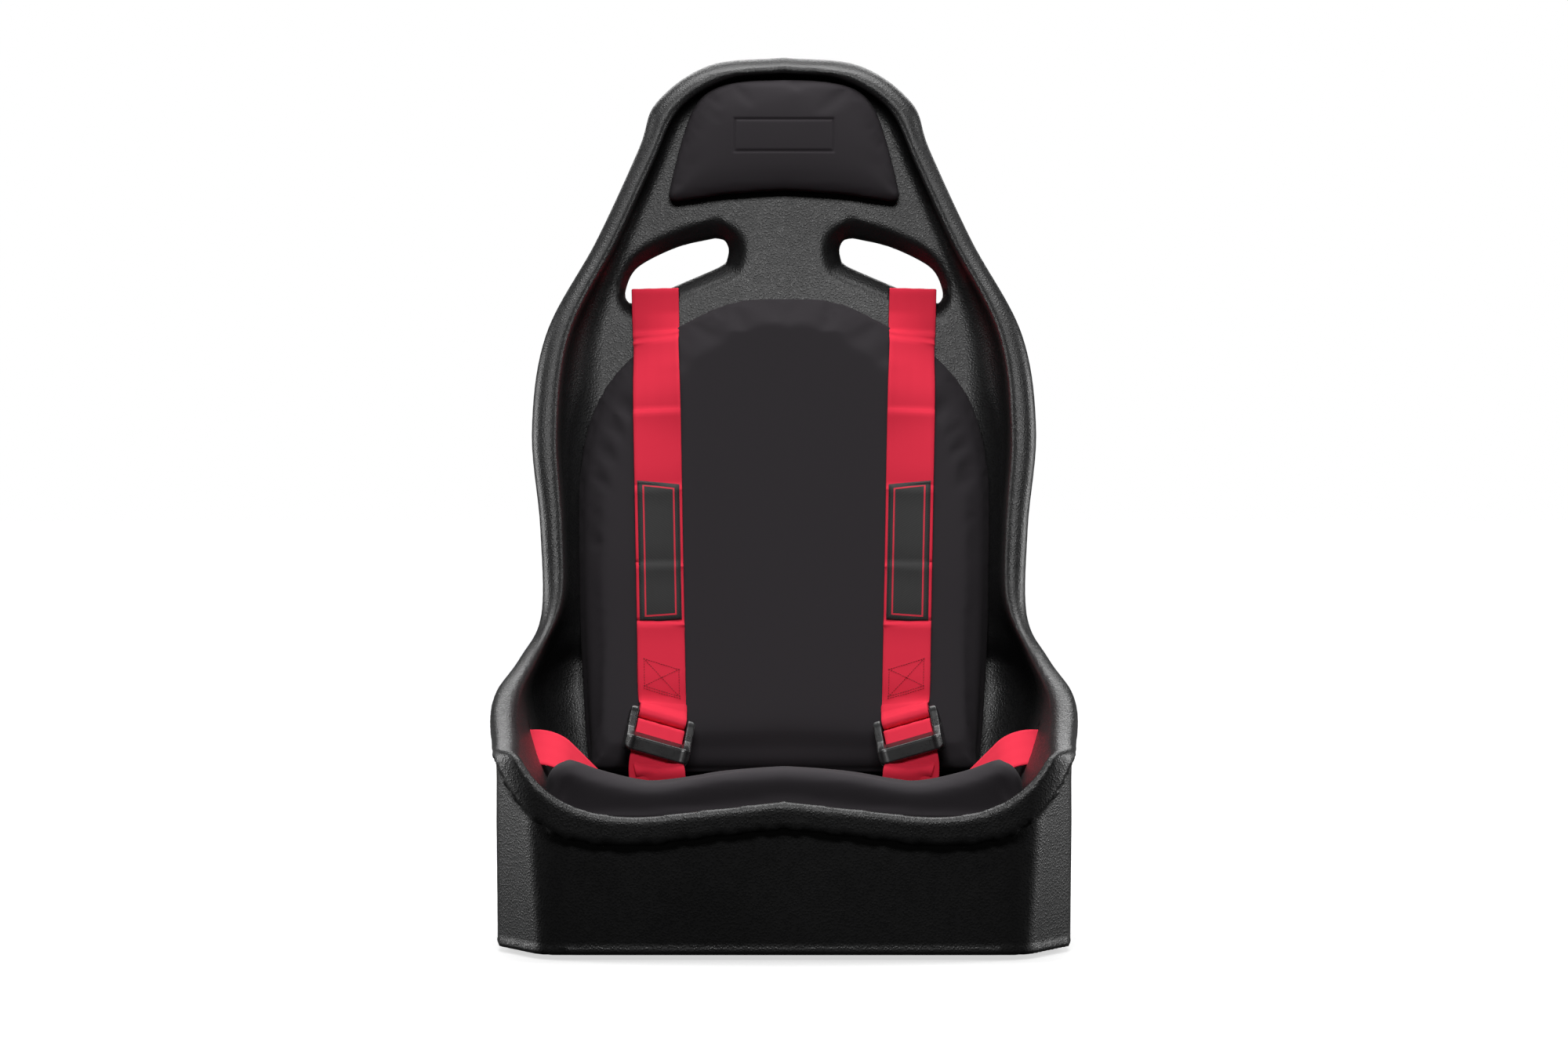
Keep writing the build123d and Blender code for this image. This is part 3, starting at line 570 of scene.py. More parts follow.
def moulded_plastic():
    looks = bpy.context.scene.seat_colours

    def build(tree, coords):
        place = coords["Object"]
        grain = use_group(tree, "Pebble grain", Vector=place, Pebble_size=0.0022)
        tone = use_group(tree, "Patchy tone", Vector=place, Patch_size=0.12, Fine_size=0.01,
            Contrast=0.5)["Tone"]
        wear = use_group(tree, "Edge wear", Vector=place, Amount=0.35)["Mask"]
        dark, light = rgba(looks.shell), rgba([c * 1.7 + 0.004 for c in looks.shell])
        colour = blend_colours(tree, maths(tree, "MULTIPLY", tone, 0.6), dark, light)
        colour = blend_colours(tree, wear, colour, rgba([c * 3 + 0.01 for c in looks.shell]))
        rough = maths(tree, "ADD", spread(tree, tone, 0, 1, 0.32, 0.4),
            maths(tree, "MULTIPLY", grain["Valley"], 0.1))
        return {"Base Color": colour, "Roughness": rough,
            "Normal": bump(tree, grain["Height"], 0.00022, 0.7)}

    return finish_material("moulded_plastic", build, Specular_IOR_Level=0.5)


def plug_plastic():
    def build(tree, coords):
        place = coords["Object"]
        tone = use_group(tree, "Patchy tone", Vector=place, Patch_size=0.02, Fine_size=0.002,
            Contrast=0.5)["Tone"]
        grain = use_group(tree, "Pebble grain", Vector=place, Pebble_size=0.0009)
        colour = blend_colours(tree, tone, (0.02, 0.02, 0.021, 1), (0.04, 0.04, 0.041, 1))
        return {
            "Base Color": colour,
            "Roughness": spread(tree, tone, 0, 1, 0.45, 0.6),
            "Normal": bump(tree, grain["Height"], 0.0001, 0.5),
        }

    return finish_material("plug_plastic", build)


def pad_fabric():
    looks = bpy.context.scene.seat_colours

    def build(tree, coords):
        place = coords["Object"]
        knit = use_group(tree, "Knit nap", Vector=place)
        tone = use_group(tree, "Patchy tone", Vector=place, Patch_size=0.07, Fine_size=0.012,
            Contrast=0.6)["Tone"]
        dark, light = rgba(looks.fabric), rgba([c * 1.8 + 0.006 for c in looks.fabric])
        colour = blend_colours(tree, maths(tree, "MULTIPLY", tone, 0.55), dark, light)
        colour = blend_colours(tree, maths(tree, "MULTIPLY", knit["Fleck"], 0.35), colour,
            rgba([c * 3.2 + 0.01 for c in looks.fabric]))
        return {
            "Base Color": colour,
            "Roughness": spread(tree, knit["Height"], 0.3, 1.2, 1.0, 0.88),
            "Normal": bump(tree, knit["Height"], 0.0005, 0.8),
        }

    return finish_material("pad_fabric", build, Sheen_Weight=0.06, Sheen_Roughness=0.4,
        Specular_IOR_Level=0.2)


def hook_tape():
    def build(tree, coords):
        hooks = add(
            tree, "ShaderNodeTexVoronoi",
                {"Vector": coords["Object"], "Scale": 900.0, "Randomness": 0.35}
        ).outputs["Distance"]
        tone = use_group(tree, "Patchy tone", Vector=coords["Object"], Patch_size=0.03,
            Contrast=0.5)["Tone"]
        # painted shade: lighter on the raised hooks and darker in the low ground between them
        colour = blend_colours(tree, spread(tree, hooks, 0.1, 0.6), (0.05, 0.05, 0.05, 1),
            (0.012, 0.012, 0.012, 1))
        return {
            "Base Color": blend_colours(tree, maths(tree, "MULTIPLY", tone, 0.4), colour,
                (0.03, 0.03, 0.03, 1)),
            "Roughness": spread(tree, tone, 0, 1, 0.7, 0.9),
            "Normal": bump(tree, maths(tree, "SUBTRACT", 1.0, hooks), 0.0006, 0.9),
        }

    return finish_material("hook_tape", build)


def webbing(name="webbing"):
    looks = bpy.context.scene.seat_colours

    def build(tree, coords):
        weave = use_group(tree, "Woven ribs", Vector=coords["UV"])
        tone = use_group(tree, "Patchy tone", Vector=coords["Object"], Patch_size=0.05,
            Fine_size=0.003, Contrast=0.5)["Tone"]
        base = looks.webbing
        # painted shade and painted highlight: the red is darkened in the weave's grooves and lightened on its
        # crests
        groove_shade_colour, crest_highlight_colour = rgba([c * 0.62 for c in base]), rgba(
            [min(1, c * 1.12 + 0.012) for c in base])
        colour = blend_colours(tree, weave["Height"], groove_shade_colour, crest_highlight_colour)
        colour = blend_colours(tree, maths(tree, "MULTIPLY", tone, 0.3), colour,
            rgba([c * 0.8 for c in base]))
        return {
            "Base Color": colour,
            "Roughness": spread(tree, weave["Thread"], 0, 1, 0.6, 0.42),
            "Normal": bump(tree, weave["Height"], 0.00035, 0.8),
        }

    return finish_material(name, build, Sheen_Weight=0.3, Sheen_Roughness=0.35)


def coated_black():
    looks = bpy.context.scene.seat_colours

    def build(tree, coords):
        place = coords["Object"]
        tone = use_group(tree, "Patchy tone", Vector=place, Patch_size=0.02, Fine_size=0.0012,
            Contrast=0.6)["Tone"]
        wear = use_group(tree, "Edge wear", Vector=place, Break_size=0.0015, Amount=0.5)["Mask"]
        colour = blend_colours(tree, tone, rgba(looks.buckle),
            rgba([c * 1.6 + 0.003 for c in looks.buckle]))
        return {
            "Base Color": blend_colours(tree, wear, colour, (0.12, 0.12, 0.125, 1)),
            "Roughness": maths(tree, "SUBTRACT", spread(tree, tone, 0, 1, 0.24, 0.36),
                maths(tree, "MULTIPLY", wear, 0.1)),
            "Normal": bump(tree, tone, 0.00008, 0.4),
        }

    return finish_material("coated_black", build, Coat_Weight=0.25, Coat_Roughness=0.12)


def metal(name, colour, rough, spots, brush=(1, 1, 1)):
    def build(tree, coords):
        place = coords["Object"]
        streaks = add(tree, "ShaderNodeMapping", {"Vector": place, "Scale": brush}).outputs[0]
        lines = add(tree, "ShaderNodeTexNoise",
            {"Vector": streaks, "Scale": 900.0, "Detail": 3.0}).outputs["Fac"]
        tone = use_group(tree, "Patchy tone", Vector=place, Patch_size=0.015, Fine_size=0.001,
            Contrast=spots)["Tone"]
        wear = use_group(tree, "Edge wear", Vector=place, Break_size=0.001, Amount=0.6)["Mask"]
        shade = blend_colours(tree, tone, rgba([c * 0.75 for c in colour]), rgba(colour))
        return {
            "Base Color": blend_colours(tree, wear, shade,
                rgba([min(1, c * 1.3 + 0.05) for c in colour])),
            "Roughness": maths(tree, "ADD", spread(tree, tone, 0, 1, rough + 0.1, rough),
                maths(tree, "MULTIPLY", lines, 0.1)),
            "Normal": bump(tree, lines, 0.00005, 0.5),
        }

    return finish_material(name, build, Metallic=1.0)


# ------------------------------------------------------------------ shell
def shell_field(settings):
    """The shell's outside as a distance field in millimetres."""
    outer = both_sides(smooth_line([(x * WIDE, z * TALL) for x, z in OUTER_HALF]))
    bucket = both_sides(smooth_line([(x * WIDE, z * TALL) for x, z in BUCKET_HALF]))
    mouth, throat = (
        smooth_line([(x * WIDE, z * TALL) for x, z in [*outline, outline[0]]],
            4) for outline in (SLOT_MOUTH, SLOT_THROAT)
    )
    rim = smooth_line(RIM_SIDE)
    heights = np.linspace(930, 160, 80)
    rear = np.column_stack([back_y(heights, BACK_THICKNESS), heights])[::-1]
    plinth_rear = back_y(160.0, BACK_THICKNESS)
    side = np.vstack([[(plinth_rear, 0)], rear, [(305, 930)], rim, [(LIP_FRONT, 0)]])
    pan = np.array([(-272, 260), (-272, 128), (66, 90), (back_y(90.0), 90), (back_y(260.0), 260)])
    foot = smooth_line(ROLL_FOOT)
    edge, back_edge = settings.rim_round / MM, settings.back_round / MM
    slot_edge, corner = settings.slot_round / MM, settings.corner_round / MM

    def field(x, y, z):
        across = np.abs(x)
        behind = y - back_y(z)
        front_view = outline_distance(outer, across, z)
        side_view = outline_distance(side, y, z)
        nearness = ease(behind, -60, 30)
        body = meet(front_view, side_view, edge + (back_edge - edge) * nearness)
        plan = meet(across - 289 * WIDE, LIP_FRONT - y, corner)
        body = meet(body, plan, 8)
        # the plinth stands back under the roll, and a raking facet cuts each corner, widest at the foot
        under = np.interp(across, foot[:, 0], foot[:, 1])
        below = 60 * ease(z - under, -6, 2)
        front = PLINTH_FRONT - 5 + 9 * (125 - np.minimum(z, 125)) / 125 - y
        plinth = meet(across - PLINTH_HALF * WIDE, front, corner - 10)
        facet = 0.864 * across - 0.504 * y - (337.5 + 0.078 * z)
        plinth = meet(plinth, facet, 5)
        step = 1.6 * ease(z, 10, 13) * (1 - ease(y, 150, 240))
        body = meet(body, plinth + step - below, 4)
        round_in = 12 + (settings.bolster_round / MM - 12) * ease(-z, -720, -520)
        hollow = meet(outline_distance(bucket, across, z), behind, round_in)
        well = meet(across - PAN_HALF, outline_distance(pan, y, z), 26)
        body = meet(body, -join(hollow, well, 30), settings.lip_round / MM)
        # the slots narrow towards the middle of the double wall from both faces
        narrow = ease(behind, -4, 18) * (1 - ease(behind, 34, 54))
        slot = (1 - narrow) * outline_distance(mouth, across, z) + narrow * outline_distance(throat,
            across, z)
        body = meet(body, -slot, slot_edge)
        along = (y - HIP_SLOT[0]) * cos(HIP_TILT) + (z - HIP_SLOT[1]) * sin(HIP_TILT)
        up = -(y - HIP_SLOT[0]) * sin(HIP_TILT) + (z - HIP_SLOT[1]) * cos(HIP_TILT)
        hip = meet(meet(np.abs(along) - 29, np.abs(up) - 8, 6), 205 - across, 1)
        return meet(body, -hip, 5)

    return field


class SEAT_OT_shell(Operator):
    """The one-piece moulded shell, with its rolled rim, slots and plinth"""

    bl_idname = "seat.shell"
    bl_label = "Shell"

    def execute(self, context):
        settings = context.scene.seat_shell
        pitch = settings.pitch / MM * 1
        axes = [
            np.arange(SHELL_LOW.x / MM - 2.5 * pitch, SHELL_HIGH.x / MM + 2.5 * pitch, pitch),
            np.arange(SHELL_LOW.y / MM - 2.5 * pitch, SHELL_HIGH.y / MM + 2.5 * pitch, pitch),
            np.arange(SHELL_LOW.z / MM - 2.5 * pitch, SHELL_HIGH.z / MM + 2.5 * pitch, pitch),
        ]
        places, faces = solid_from(shell_field(settings), axes)
        shell = mesh_object("moulded_shell", places * MM, faces)
        shell.data.materials.append(moulded_plastic())
        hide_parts("shell")
        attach(shell, "root")
        return {"FINISHED"}


# ------------------------------------------------------------------ pads
BACK_PAD_HALF = [(0, 643), (48, 640), (95, 622), (162, 580), (200, 530), (217, 460), (218, 380),
    (213, 260),
                 (204, 160), (190, 146), (95, 144), (0, 144)]
HEAD_PAD_HALF = [(0, 876), (48, 874), (80, 864), (100, 842), (114, 800), (124, 758), (125, 746),
    (116, 740),
                 (60, 748), (0, 752)]
CUSHION_TOP = [(0, 182), (60, 178), (122, 169), (170, 176), (208, 188), (228, 186), (240, 181)]
CUSHION_PLAN = [(230, -270), (230, -62), (192, -35), (150, 38), (148, 60)]
CUSHION_FALL = 0.137
TAPE = 2.5


def pan_height(y):
    slope = (PAN_REAR[1] - PAN_FRONT[1]) / (PAN_REAR[0] - PAN_FRONT[0])
    return np.maximum(PAN_FRONT[1] + (y - PAN_FRONT[0]) * slope, PAN_REAR[1])


def scaled_loop(half):
    return both_sides(smooth_line([(x * WIDE, z * TALL) for x, z in half], 5))


def back_pad_field(start):
    loop = scaled_loop(BACK_PAD_HALF)

    def field(x, y, z):
        ahead = back_y(z) - y
        # thin over the spine, and up onto the bolsters at the sides
        swell = ease(np.abs(x), 88, 190) * ease(-z, -600, -330)
        front = ahead - (26 + 15 * swell - start)
        pad = meet(outline_distance(loop, x, z) + start, front, 15)
        return meet(pad, TAPE + 0.5 - ahead, 4)

    return field


def head_pad_field(start):
    loop = scaled_loop(HEAD_PAD_HALF)

    def field(x, y, z):
        ahead = back_y(z) - y
        front = ahead - (27 - start - 2.5 * (x / 120) ** 2)
        return meet(meet(outline_distance(loop, x, z) + start, front, 10), TAPE + 0.5 - ahead, 4)

    return field


def cushion_field(start):
    plan = [(x * WIDE, y) for x, y in CUSHION_PLAN]
    loop = np.array([*plan, *[(-x, y) for x, y in reversed(plan)]])
    crest = smooth_line([(x * WIDE, z * TALL) for x, z in CUSHION_TOP], 4)

    def field(x, y, z):
        top = np.interp(np.abs(x), crest[:, 0],
            crest[:, 1]) - CUSHION_FALL * (y - CUSHION_PLAN[0][1])
        corner = meet(np.abs(x) - CUSHION_PLAN[0][0] * WIDE, CUSHION_PLAN[0][1] - y, 30)
        outline = np.maximum(outline_distance(loop, x, y), corner)
        pad = meet(outline + start, z - (top - start), 15)
        return meet(pad, pan_height(y) + TAPE + 0.5 - z, 5)

    return field


def puff(pad, settings, held):
    """Swells a pad like stuffed cloth: cloth with inner pressure, its hidden side held."""
    before = np.array([v.co[:] for v in pad.data.vertices])
    group = pad.vertex_groups.new(name="held")
    group.add([i for i, spot in enumerate(before) if held(*(spot / MM))], 1.0, "REPLACE")
    cloth = pad.modifiers.new("stuffing", "CLOTH")
    inner = cloth.settings
    inner.quality = 5
    inner.mass = 0.3
    inner.tension_stiffness = inner.compression_stiffness = 18
    inner.bending_stiffness = 2.0
    inner.use_pressure = True
    inner.uniform_pressure_force = settings.pressure
    inner.vertex_group_mass = "held"
    inner.effector_weights.gravity = 0
    cloth.collision_settings.use_self_collision = False
    cloth.point_cache.frame_start, cloth.point_cache.frame_end = 1, settings.frames
    scene = bpy.context.scene
    for frame_number in range(1, settings.frames + 1):
        scene.frame_set(frame_number)
    shaped = pad.evaluated_get(bpy.context.evaluated_depsgraph_get()).data
    after = np.array([v.co[:] for v in shaped.vertices])
    pad.modifiers.remove(cloth)
    pad.vertex_groups.remove(group)
    scene.frame_set(1)
    move = after - before
    far = np.linalg.norm(move, axis=1)
    move *= (np.minimum(far, settings.puff_cap) / np.maximum(far, 1e-9))[:, None]
    pad.data.vertices.foreach_set("co", (before + move).ravel())
    pad.data.update()


def pad_object(name, field, low, high, pitch, settings, held):
    axes = [np.arange(a - 2.3 * pitch, b + 2.3 * pitch, pitch) for a, b in zip(low, high)]
    places, faces = solid_from(field(settings.puff_start / MM), axes)
    pad = mesh_object(name, places * MM, faces)
    puff(pad, settings, held)
    return pad


def subdivided(thing, levels):
    """One or more smooth subdivisions, made part of the mesh."""
    finer = thing.modifiers.new("finer", "SUBSURF")
    finer.levels = finer.render_levels = levels
    return made_real(thing)


def made_real(thing):
    """An object's modifiers made part of its mesh."""
    view = bpy.context.evaluated_depsgraph_get()
    mesh = bpy.data.meshes.new_from_object(thing.evaluated_get(view))
    thing.modifiers.clear()
    thing.data = mesh
    mesh.polygons.foreach_set("use_smooth", [True] * len(mesh.polygons))
    return thing


def node_box(node):
    low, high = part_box(node)
    return np.array(low) / MM, np.array(high) / MM


class SEAT_OT_back_pad(Operator):
    """The backrest's pad, thin over the spine and full at the bolsters"""

    bl_idname = "seat.back_pad"
    bl_label = "Back pad"

    def execute(self, context):
        settings = context.scene.seat_pads
        low, high = node_box("back_pad")
        low = low - (0, 16, 0)
        pad = pad_object("back_pad_cover", back_pad_field, low, high, settings.pitch / MM, settings,
                         lambda x, y, z: back_y(z) - y < 9)
        subdivided(pad, 1)
        dress_pad(pad, "back_pad")
        return {"FINISHED"}


class SEAT_OT_head_pad(Operator):
    """The headrest's pad, with its pressed panel"""

    bl_idname = "seat.head_pad"
    bl_label = "Head pad"

    def execute(self, context):
        settings = context.scene.seat_pads
        low, high = node_box("head_pad")
        pad = pad_object("head_pad_cover", head_pad_field, low - (0, 6, 0), high,
            settings.pitch / MM * 0.9,
                         settings, lambda x, y, z: back_y(z) - y < 9)
        subdivided(pad, 2)
        press_panel(pad)
        dress_pad(pad, "head_pad")
        return {"FINISHED"}


def press_panel(pad):
    """Presses one plain outline into the head pad's face."""
    spots = np.array([v.co[:] for v in pad.data.vertices]) / MM
    across, up = np.abs(spots[:, 0]), spots[:, 2] - PANEL_HEIGHT * TALL
    ahead = back_y(spots[:, 2]) - spots[:, 1]
    half_wide, half_tall = PANEL_SIZE[0] / 2, PANEL_SIZE[1] / 2
    edge = np.maximum(across - half_wide, np.abs(up) - half_tall)
    frame_line = np.exp(-((edge / 1.3) ** 2))
    depth = 1.3 * frame_line * (ahead > 14)
    spots[:, 1] += depth
    pad.data.vertices.foreach_set("co", (spots * MM).ravel())
    pad.data.update()


PANEL_HEIGHT, PANEL_SIZE = 813.0, (104.0, 34.0)


class SEAT_OT_seat_cushion(Operator):
    """The seat cushion, dished under the thighs and raised at its sides"""

    bl_idname = "seat.seat_cushion"
    bl_label = "Seat cushion"

    def execute(self, context):
        settings = context.scene.seat_pads
        low, high = node_box("seat_cushion")
        pad = pad_object("seat_cushion_cover", cushion_field, low, high + (0, 0, 8),
            settings.pitch / MM, settings,
                         lambda x, y, z: z - pan_height(y) < 9)
        subdivided(pad, 1)
        dress_pad(pad, "seat_cushion")
        return {"FINISHED"}


def dress_pad(pad, node):
    pad.data.materials.clear()
    pad.data.materials.append(pad_fabric())
    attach(pad, "root")
    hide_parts(node)


# ------------------------------------------------------------------ belts
WEBBING, THICK, GAP = 50.0, 1.6, 0.7
BADGE_SIZE, BADGE_THICK = (44.0, 150.0), 0.8
STRAP_STEP = 4.0
SLOT_SILL = 648.4
BELT_TOP = (136.5, SLOT_SILL + GAP + THICK / 2)
BELT_LEAN = atan2(BELT_TOP[0] - 126.0, BELT_TOP[1] - 250.0)
PAD_FACE = -(TAPE + 30.0)
BELT_FACE = PAD_FACE - GAP - THICK / 2
PLATE_STANDOFF, PLATE_THICK, PLATE_REACH, PLATE_BAR = 3.0, 3.0, 42.0, 9.0
OUTER_LAYER = PLATE_STANDOFF + PLATE_THICK + GAP + THICK / 2
INNER_LAYER = GAP + THICK / 2
WEBBING_SEAT = PLATE_REACH - PLATE_BAR - 2 * GAP - THICK / 2
SEWN_END = 58.0
BAR_RADIUS, BAR_GAP, LOCK_RADIUS, LOCK_DROP = 3.0, 0.5, 3.5, 12.5
BUCKLE_ROLL, BUCKLE_YAW, BUCKLE_PITCH = radians(13), radians(13), radians(12)
BUCKLE_OUT = 6.0  # further out than the frame's own place, to clear the bolster
LOOP = BAR_RADIUS + BAR_GAP + THICK / 2
SECOND_LAYER = -LOOP + THICK + 0.1
LOCK_HEIGHT = -LOOP + LOCK_RADIUS + BAR_GAP + THICK / 2
LOCK_LOOP = LOCK_RADIUS + BAR_GAP + THICK / 2


class Plane:
    """A place with directions x and z, and y square to both, in millimetres."""

    def __init__(self, origin, x, z):
        self.origin, self.x, self.z = Vector(origin), Vector(x).normalized(), Vector(z).normalized()
        self.y = self.z.cross(self.x)

    def at(self, a, b, c=0.0):
        return self.origin + self.x * a + self.y * b + self.z * c

    def turned(self, axis, angle):
        spin = Matrix.Rotation(angle, 3, axis)
        return Plane(self.origin, spin @ self.x, spin @ self.z)


def back_plane(x, height, offset):
    """On the backrest's face: x across, y up along it, z towards the front."""
    y = float(back_y(height, offset))
    forward = Vector((0, ARC_CENTRE.x - y, ARC_CENTRE.y - height))
    return Plane((x, y, height), (1, 0, 0), forward)


def rounded_path(points, radii, step=STRAP_STEP):
    """Points along a chain in two dimensions, its inner corners rounded."""
    p = [Vector(point[:2]) for point in points]
    out = [p[0]]
    for before, corner, after, radius in zip(p, p[1:], p[2:], radii):
        a, b = (before - corner).normalized(), (after - corner).normalized()
        half = a.angle(b) / 2
        if half > pi / 2 - 0.002:
            out.append(corner)
            continue
        reach = radius / np.tan(half)
        centre = corner + (a + b).normalized() * radius / sin(half)
        first, last = corner + a * reach - centre, corner + b * reach - centre
        sweep = pi - 2 * half
        turn = 1 if first.x * last.y - first.y * last.x > 0 else -1
        count = max(3, round(sweep * radius / 1.2))
        for i in range(count + 1):
            angle = turn * sweep * i / count
            out.append(centre + Vector((first.x * cos(angle) - first.y * sin(angle),
                                        first.x * sin(angle) + first.y * cos(angle))))
    out.append(p[-1])
    full = [out[0]]
    for a, b in zip(out, out[1:]):
        n = max(1, round((b - a).length / step))
        full += [a.lerp(b, i / n) for i in range(1, n + 1)]
    return full


def bridge(start, end, pull=0.4, step=STRAP_STEP):
    """Stations that lead smoothly from one (place, forward, across) to another."""
    (p, a, u), (q, b, v) = start, end
    span = (q - p).length
    a, b = a.normalized() * span * pull, b.normalized() * span * pull
    n = max(2, round(span / step))
    out = []
    for i in range(1, n):
        t = i / n
        s = 1 - t
        place = p * s**3 + (p + a) * 3 * s * s * t + (q - b) * 3 * s * t * t + q * t**3
        out.append((place, u.lerp(v, t * t * (3 - 2 * t)).normalized()))
    return out


def strap(name, stations, width=WEBBING, thick=THICK, start=0.0):
    """Webbing along stations of (place, across), with firm selvedges. Its map is in metres: across, then along."""
    places = [place for place, _ in stations]
    columns = 14
    side = np.linspace(-0.5, 0.5, columns + 1)
    edge = thick / width / 2
    across = np.array([*side * (1 - 2 * edge), 0.5, *side[::-1] * (1 - 2 * edge), -0.5])
    selvedge = 1 - 0.16 * np.cos(side * 2 * pi * 3) * (np.abs(side) < 0.45)
    up = np.array([*(selvedge / 2), 0.0, *(-selvedge[::-1] / 2), 0.0])
    verts, marks, along = [], [], start
    for i, (place, wide_way) in enumerate(stations):
        run = places[min(i + 1, len(places) - 1)] - places[max(i - 1, 0)]
        run.normalize()
        wide_way = (wide_way - run * wide_way.dot(run)).normalized()
        out = run.cross(wide_way)
        if i:
            along += (place - places[i - 1]).length
        for w, h in zip(across, up):
            verts.append((place + wide_way * w * width + out * h * thick) * MM)
            marks.append((w * width * MM, along * MM))
    ring = len(across)
    faces = [tuple(range(ring))[::-1]]
    for i in range(len(stations) - 1):
        for j in range(ring):
            k = (j + 1) % ring
            faces.append((i * ring + j, i * ring + k, (i + 1) * ring + k, (i + 1) * ring + j))
    faces.append(tuple(range((len(stations) - 1) * ring, len(stations) * ring)))
    thing = mesh_object(name, verts, faces)
    chart = thing.data.uv_layers.new(name="strap").data
    for loop in thing.data.loops:
        chart[loop.index].uv = marks[loop.vertex_index]
    thing.data.polygons[0].use_smooth = thing.data.polygons[-1].use_smooth = False
    return right_way_out(thing)


def right_way_out(thing):
    """Turns a closed mesh's faces outwards."""
    work = bmesh.new()
    work.from_mesh(thing.data)
    bmesh.ops.recalc_face_normals(work, faces=work.faces)
    work.to_mesh(thing.data)
    work.free()
    return thing


def opposite(thing, name):
    """The same piece on the left."""
    mesh = thing.data.copy()
    mesh.transform(Matrix.Diagonal((-1, 1, 1, 1)))
    mesh.flip_normals()
    twin = bpy.data.objects.new(name, mesh)
    bpy.context.scene.collection.objects.link(twin)
    return twin


def belt_line():
    """The shoulder belt's stations from its anchor over the slot's sill and down the pad to the buckle."""
    flat = back_plane(BELT_TOP[0] + (490 - BELT_TOP[1]) * np.tan(BELT_LEAN), 490, BACK_THICKNESS)
    over_anchor = lambda up, out: (flat.at(0, up, -out).y, flat.at(0, up, -out).z)
    rear = float(back_y(BELT_TOP[1], BACK_THICKNESS + OUTER_LAYER))
    front = float(back_y(BELT_TOP[1], -5.0))
    route = [
        over_anchor(SEWN_END, INNER_LAYER),
        over_anchor(WEBBING_SEAT, INNER_LAYER),
        over_anchor(WEBBING_SEAT, OUTER_LAYER),
        (rear, BELT_TOP[1]),
        (front, BELT_TOP[1]),
        (float(back_y(600.0, BELT_FACE)), 600),
        *[(float(back_y(z, BELT_FACE)), z) for z in (520.0, 440.0, 360.0, 300.0, 228.0)],
    ]
    turn = (OUTER_LAYER - INNER_LAYER) / 2 - 0.1
    path = rounded_path(route, [turn, turn, 7, 9, 30, 200, 200, 200, 200, 200])
    stations = []
    for y, z in path:
        x = BELT_TOP[0] + (z - BELT_TOP[1]) * np.tan(BELT_LEAN)
        stations.append([Vector((x, y, z)), Vector((cos(BELT_LEAN), 0, -sin(BELT_LEAN)))])
    return stations


def laid_on(stations, cover, low_y):
    """Lays the front stretch of a belt on a pad: each station rests on what lies behind it."""
    view = bpy.context.evaluated_depsgraph_get()
    tree = BVHTree.FromObject(cover, view)
    lie = []
    for i, (place, across) in enumerate(stations):
        if place.y > low_y(place.z):
            continue
        depths = []
        for share in (-0.46, -0.23, 0.0, 0.23, 0.46):
            start = place + across * share * WEBBING
            hit = tree.ray_cast(Vector((start.x, -500, start.z)) * MM, Vector((0, 1, 0)))[0]
            depths.append(hit.y / MM if hit else float(back_y(start.z)) - 2)
        slope = (depths[-1] - depths[0]) / (0.92 * WEBBING)
        middle = min((depths[0] + depths[-1]) / 2,
            *(d - slope * s * WEBBING for d, s in zip(depths[1:-1], (-0.23, 0, 0.23))))
        lie.append([i, middle, slope])
    values = np.array([row[1:] for row in lie])
    kernel = np.ones(11) / 11
    for column in range(2):
        padded = np.pad(values[:, column], 5, mode="edge")
        values[:, column] = np.convolve(padded, kernel, mode="valid")
    for (i, *_), (middle, slope) in zip(lie, values):
        place, across = stations[i]
        stations[i][0] = Vector((place.x, middle - 2 * GAP - THICK / 2, place.z))
        stations[i][1] = Vector((across.x, slope, across.z)).normalized()
    return stations


def buckle_plane():
    """The adjuster's own directions: x along its top bar, y up it and z out of its face."""
    height = 203.0
    x = BELT_TOP[0] + (height - BELT_TOP[1]) * np.tan(BELT_LEAN)
    flat = back_plane(x, height, PAD_FACE - (GAP + THICK + BAR_GAP + BAR_RADIUS) - BUCKLE_OUT)
    plane = flat.turned(flat.z, BUCKLE_ROLL)
    plane = plane.turned(plane.y, -BUCKLE_YAW)
    return plane.turned(plane.x, -BUCKLE_PITCH)


def path_in(plane, points, radii, step=1.6):
    """Stations along a chain in a plane's side view: (out, up) points, across along x."""
    return [(plane.at(0, up, out), plane.x) for out, up in rounded_path(points, radii, step)]


def shoulder_stations(cover):
    """All of a right-hand shoulder belt's stations, and how many of them reach the buckle's bridge."""
    main = laid_on(belt_line(), cover, lambda z: float(back_y(z)) - 3)
    plane = buckle_plane()
    turn = LOOP - 0.1
    loop = path_in(plane,
        [(SECOND_LAYER, 13), (LOOP, 4), (LOOP, -LOOP), (-LOOP, -LOOP), (-LOOP, 12)],
            [6, turn, turn])
    forward = main[-1][0] - main[-3][0]
    entry = (main[-1][0], forward, main[-1][1])
    lead = bridge(entry, (loop[0][0], loop[1][0] - loop[0][0], loop[0][1]))
    behind = [(p + a.cross(forward).normalized() * (THICK + 0.25), a) for p, a in main[-9:]][::-1]
    back_entry = (loop[-1][0], loop[-1][0] - loop[-2][0], loop[-1][1])
    rise = bridge(back_entry, (behind[0][0], behind[1][0] - behind[0][0], behind[0][1]))
    return [*main, *lead, *loop, *rise, *behind], len(main), len(main) + len(lead)


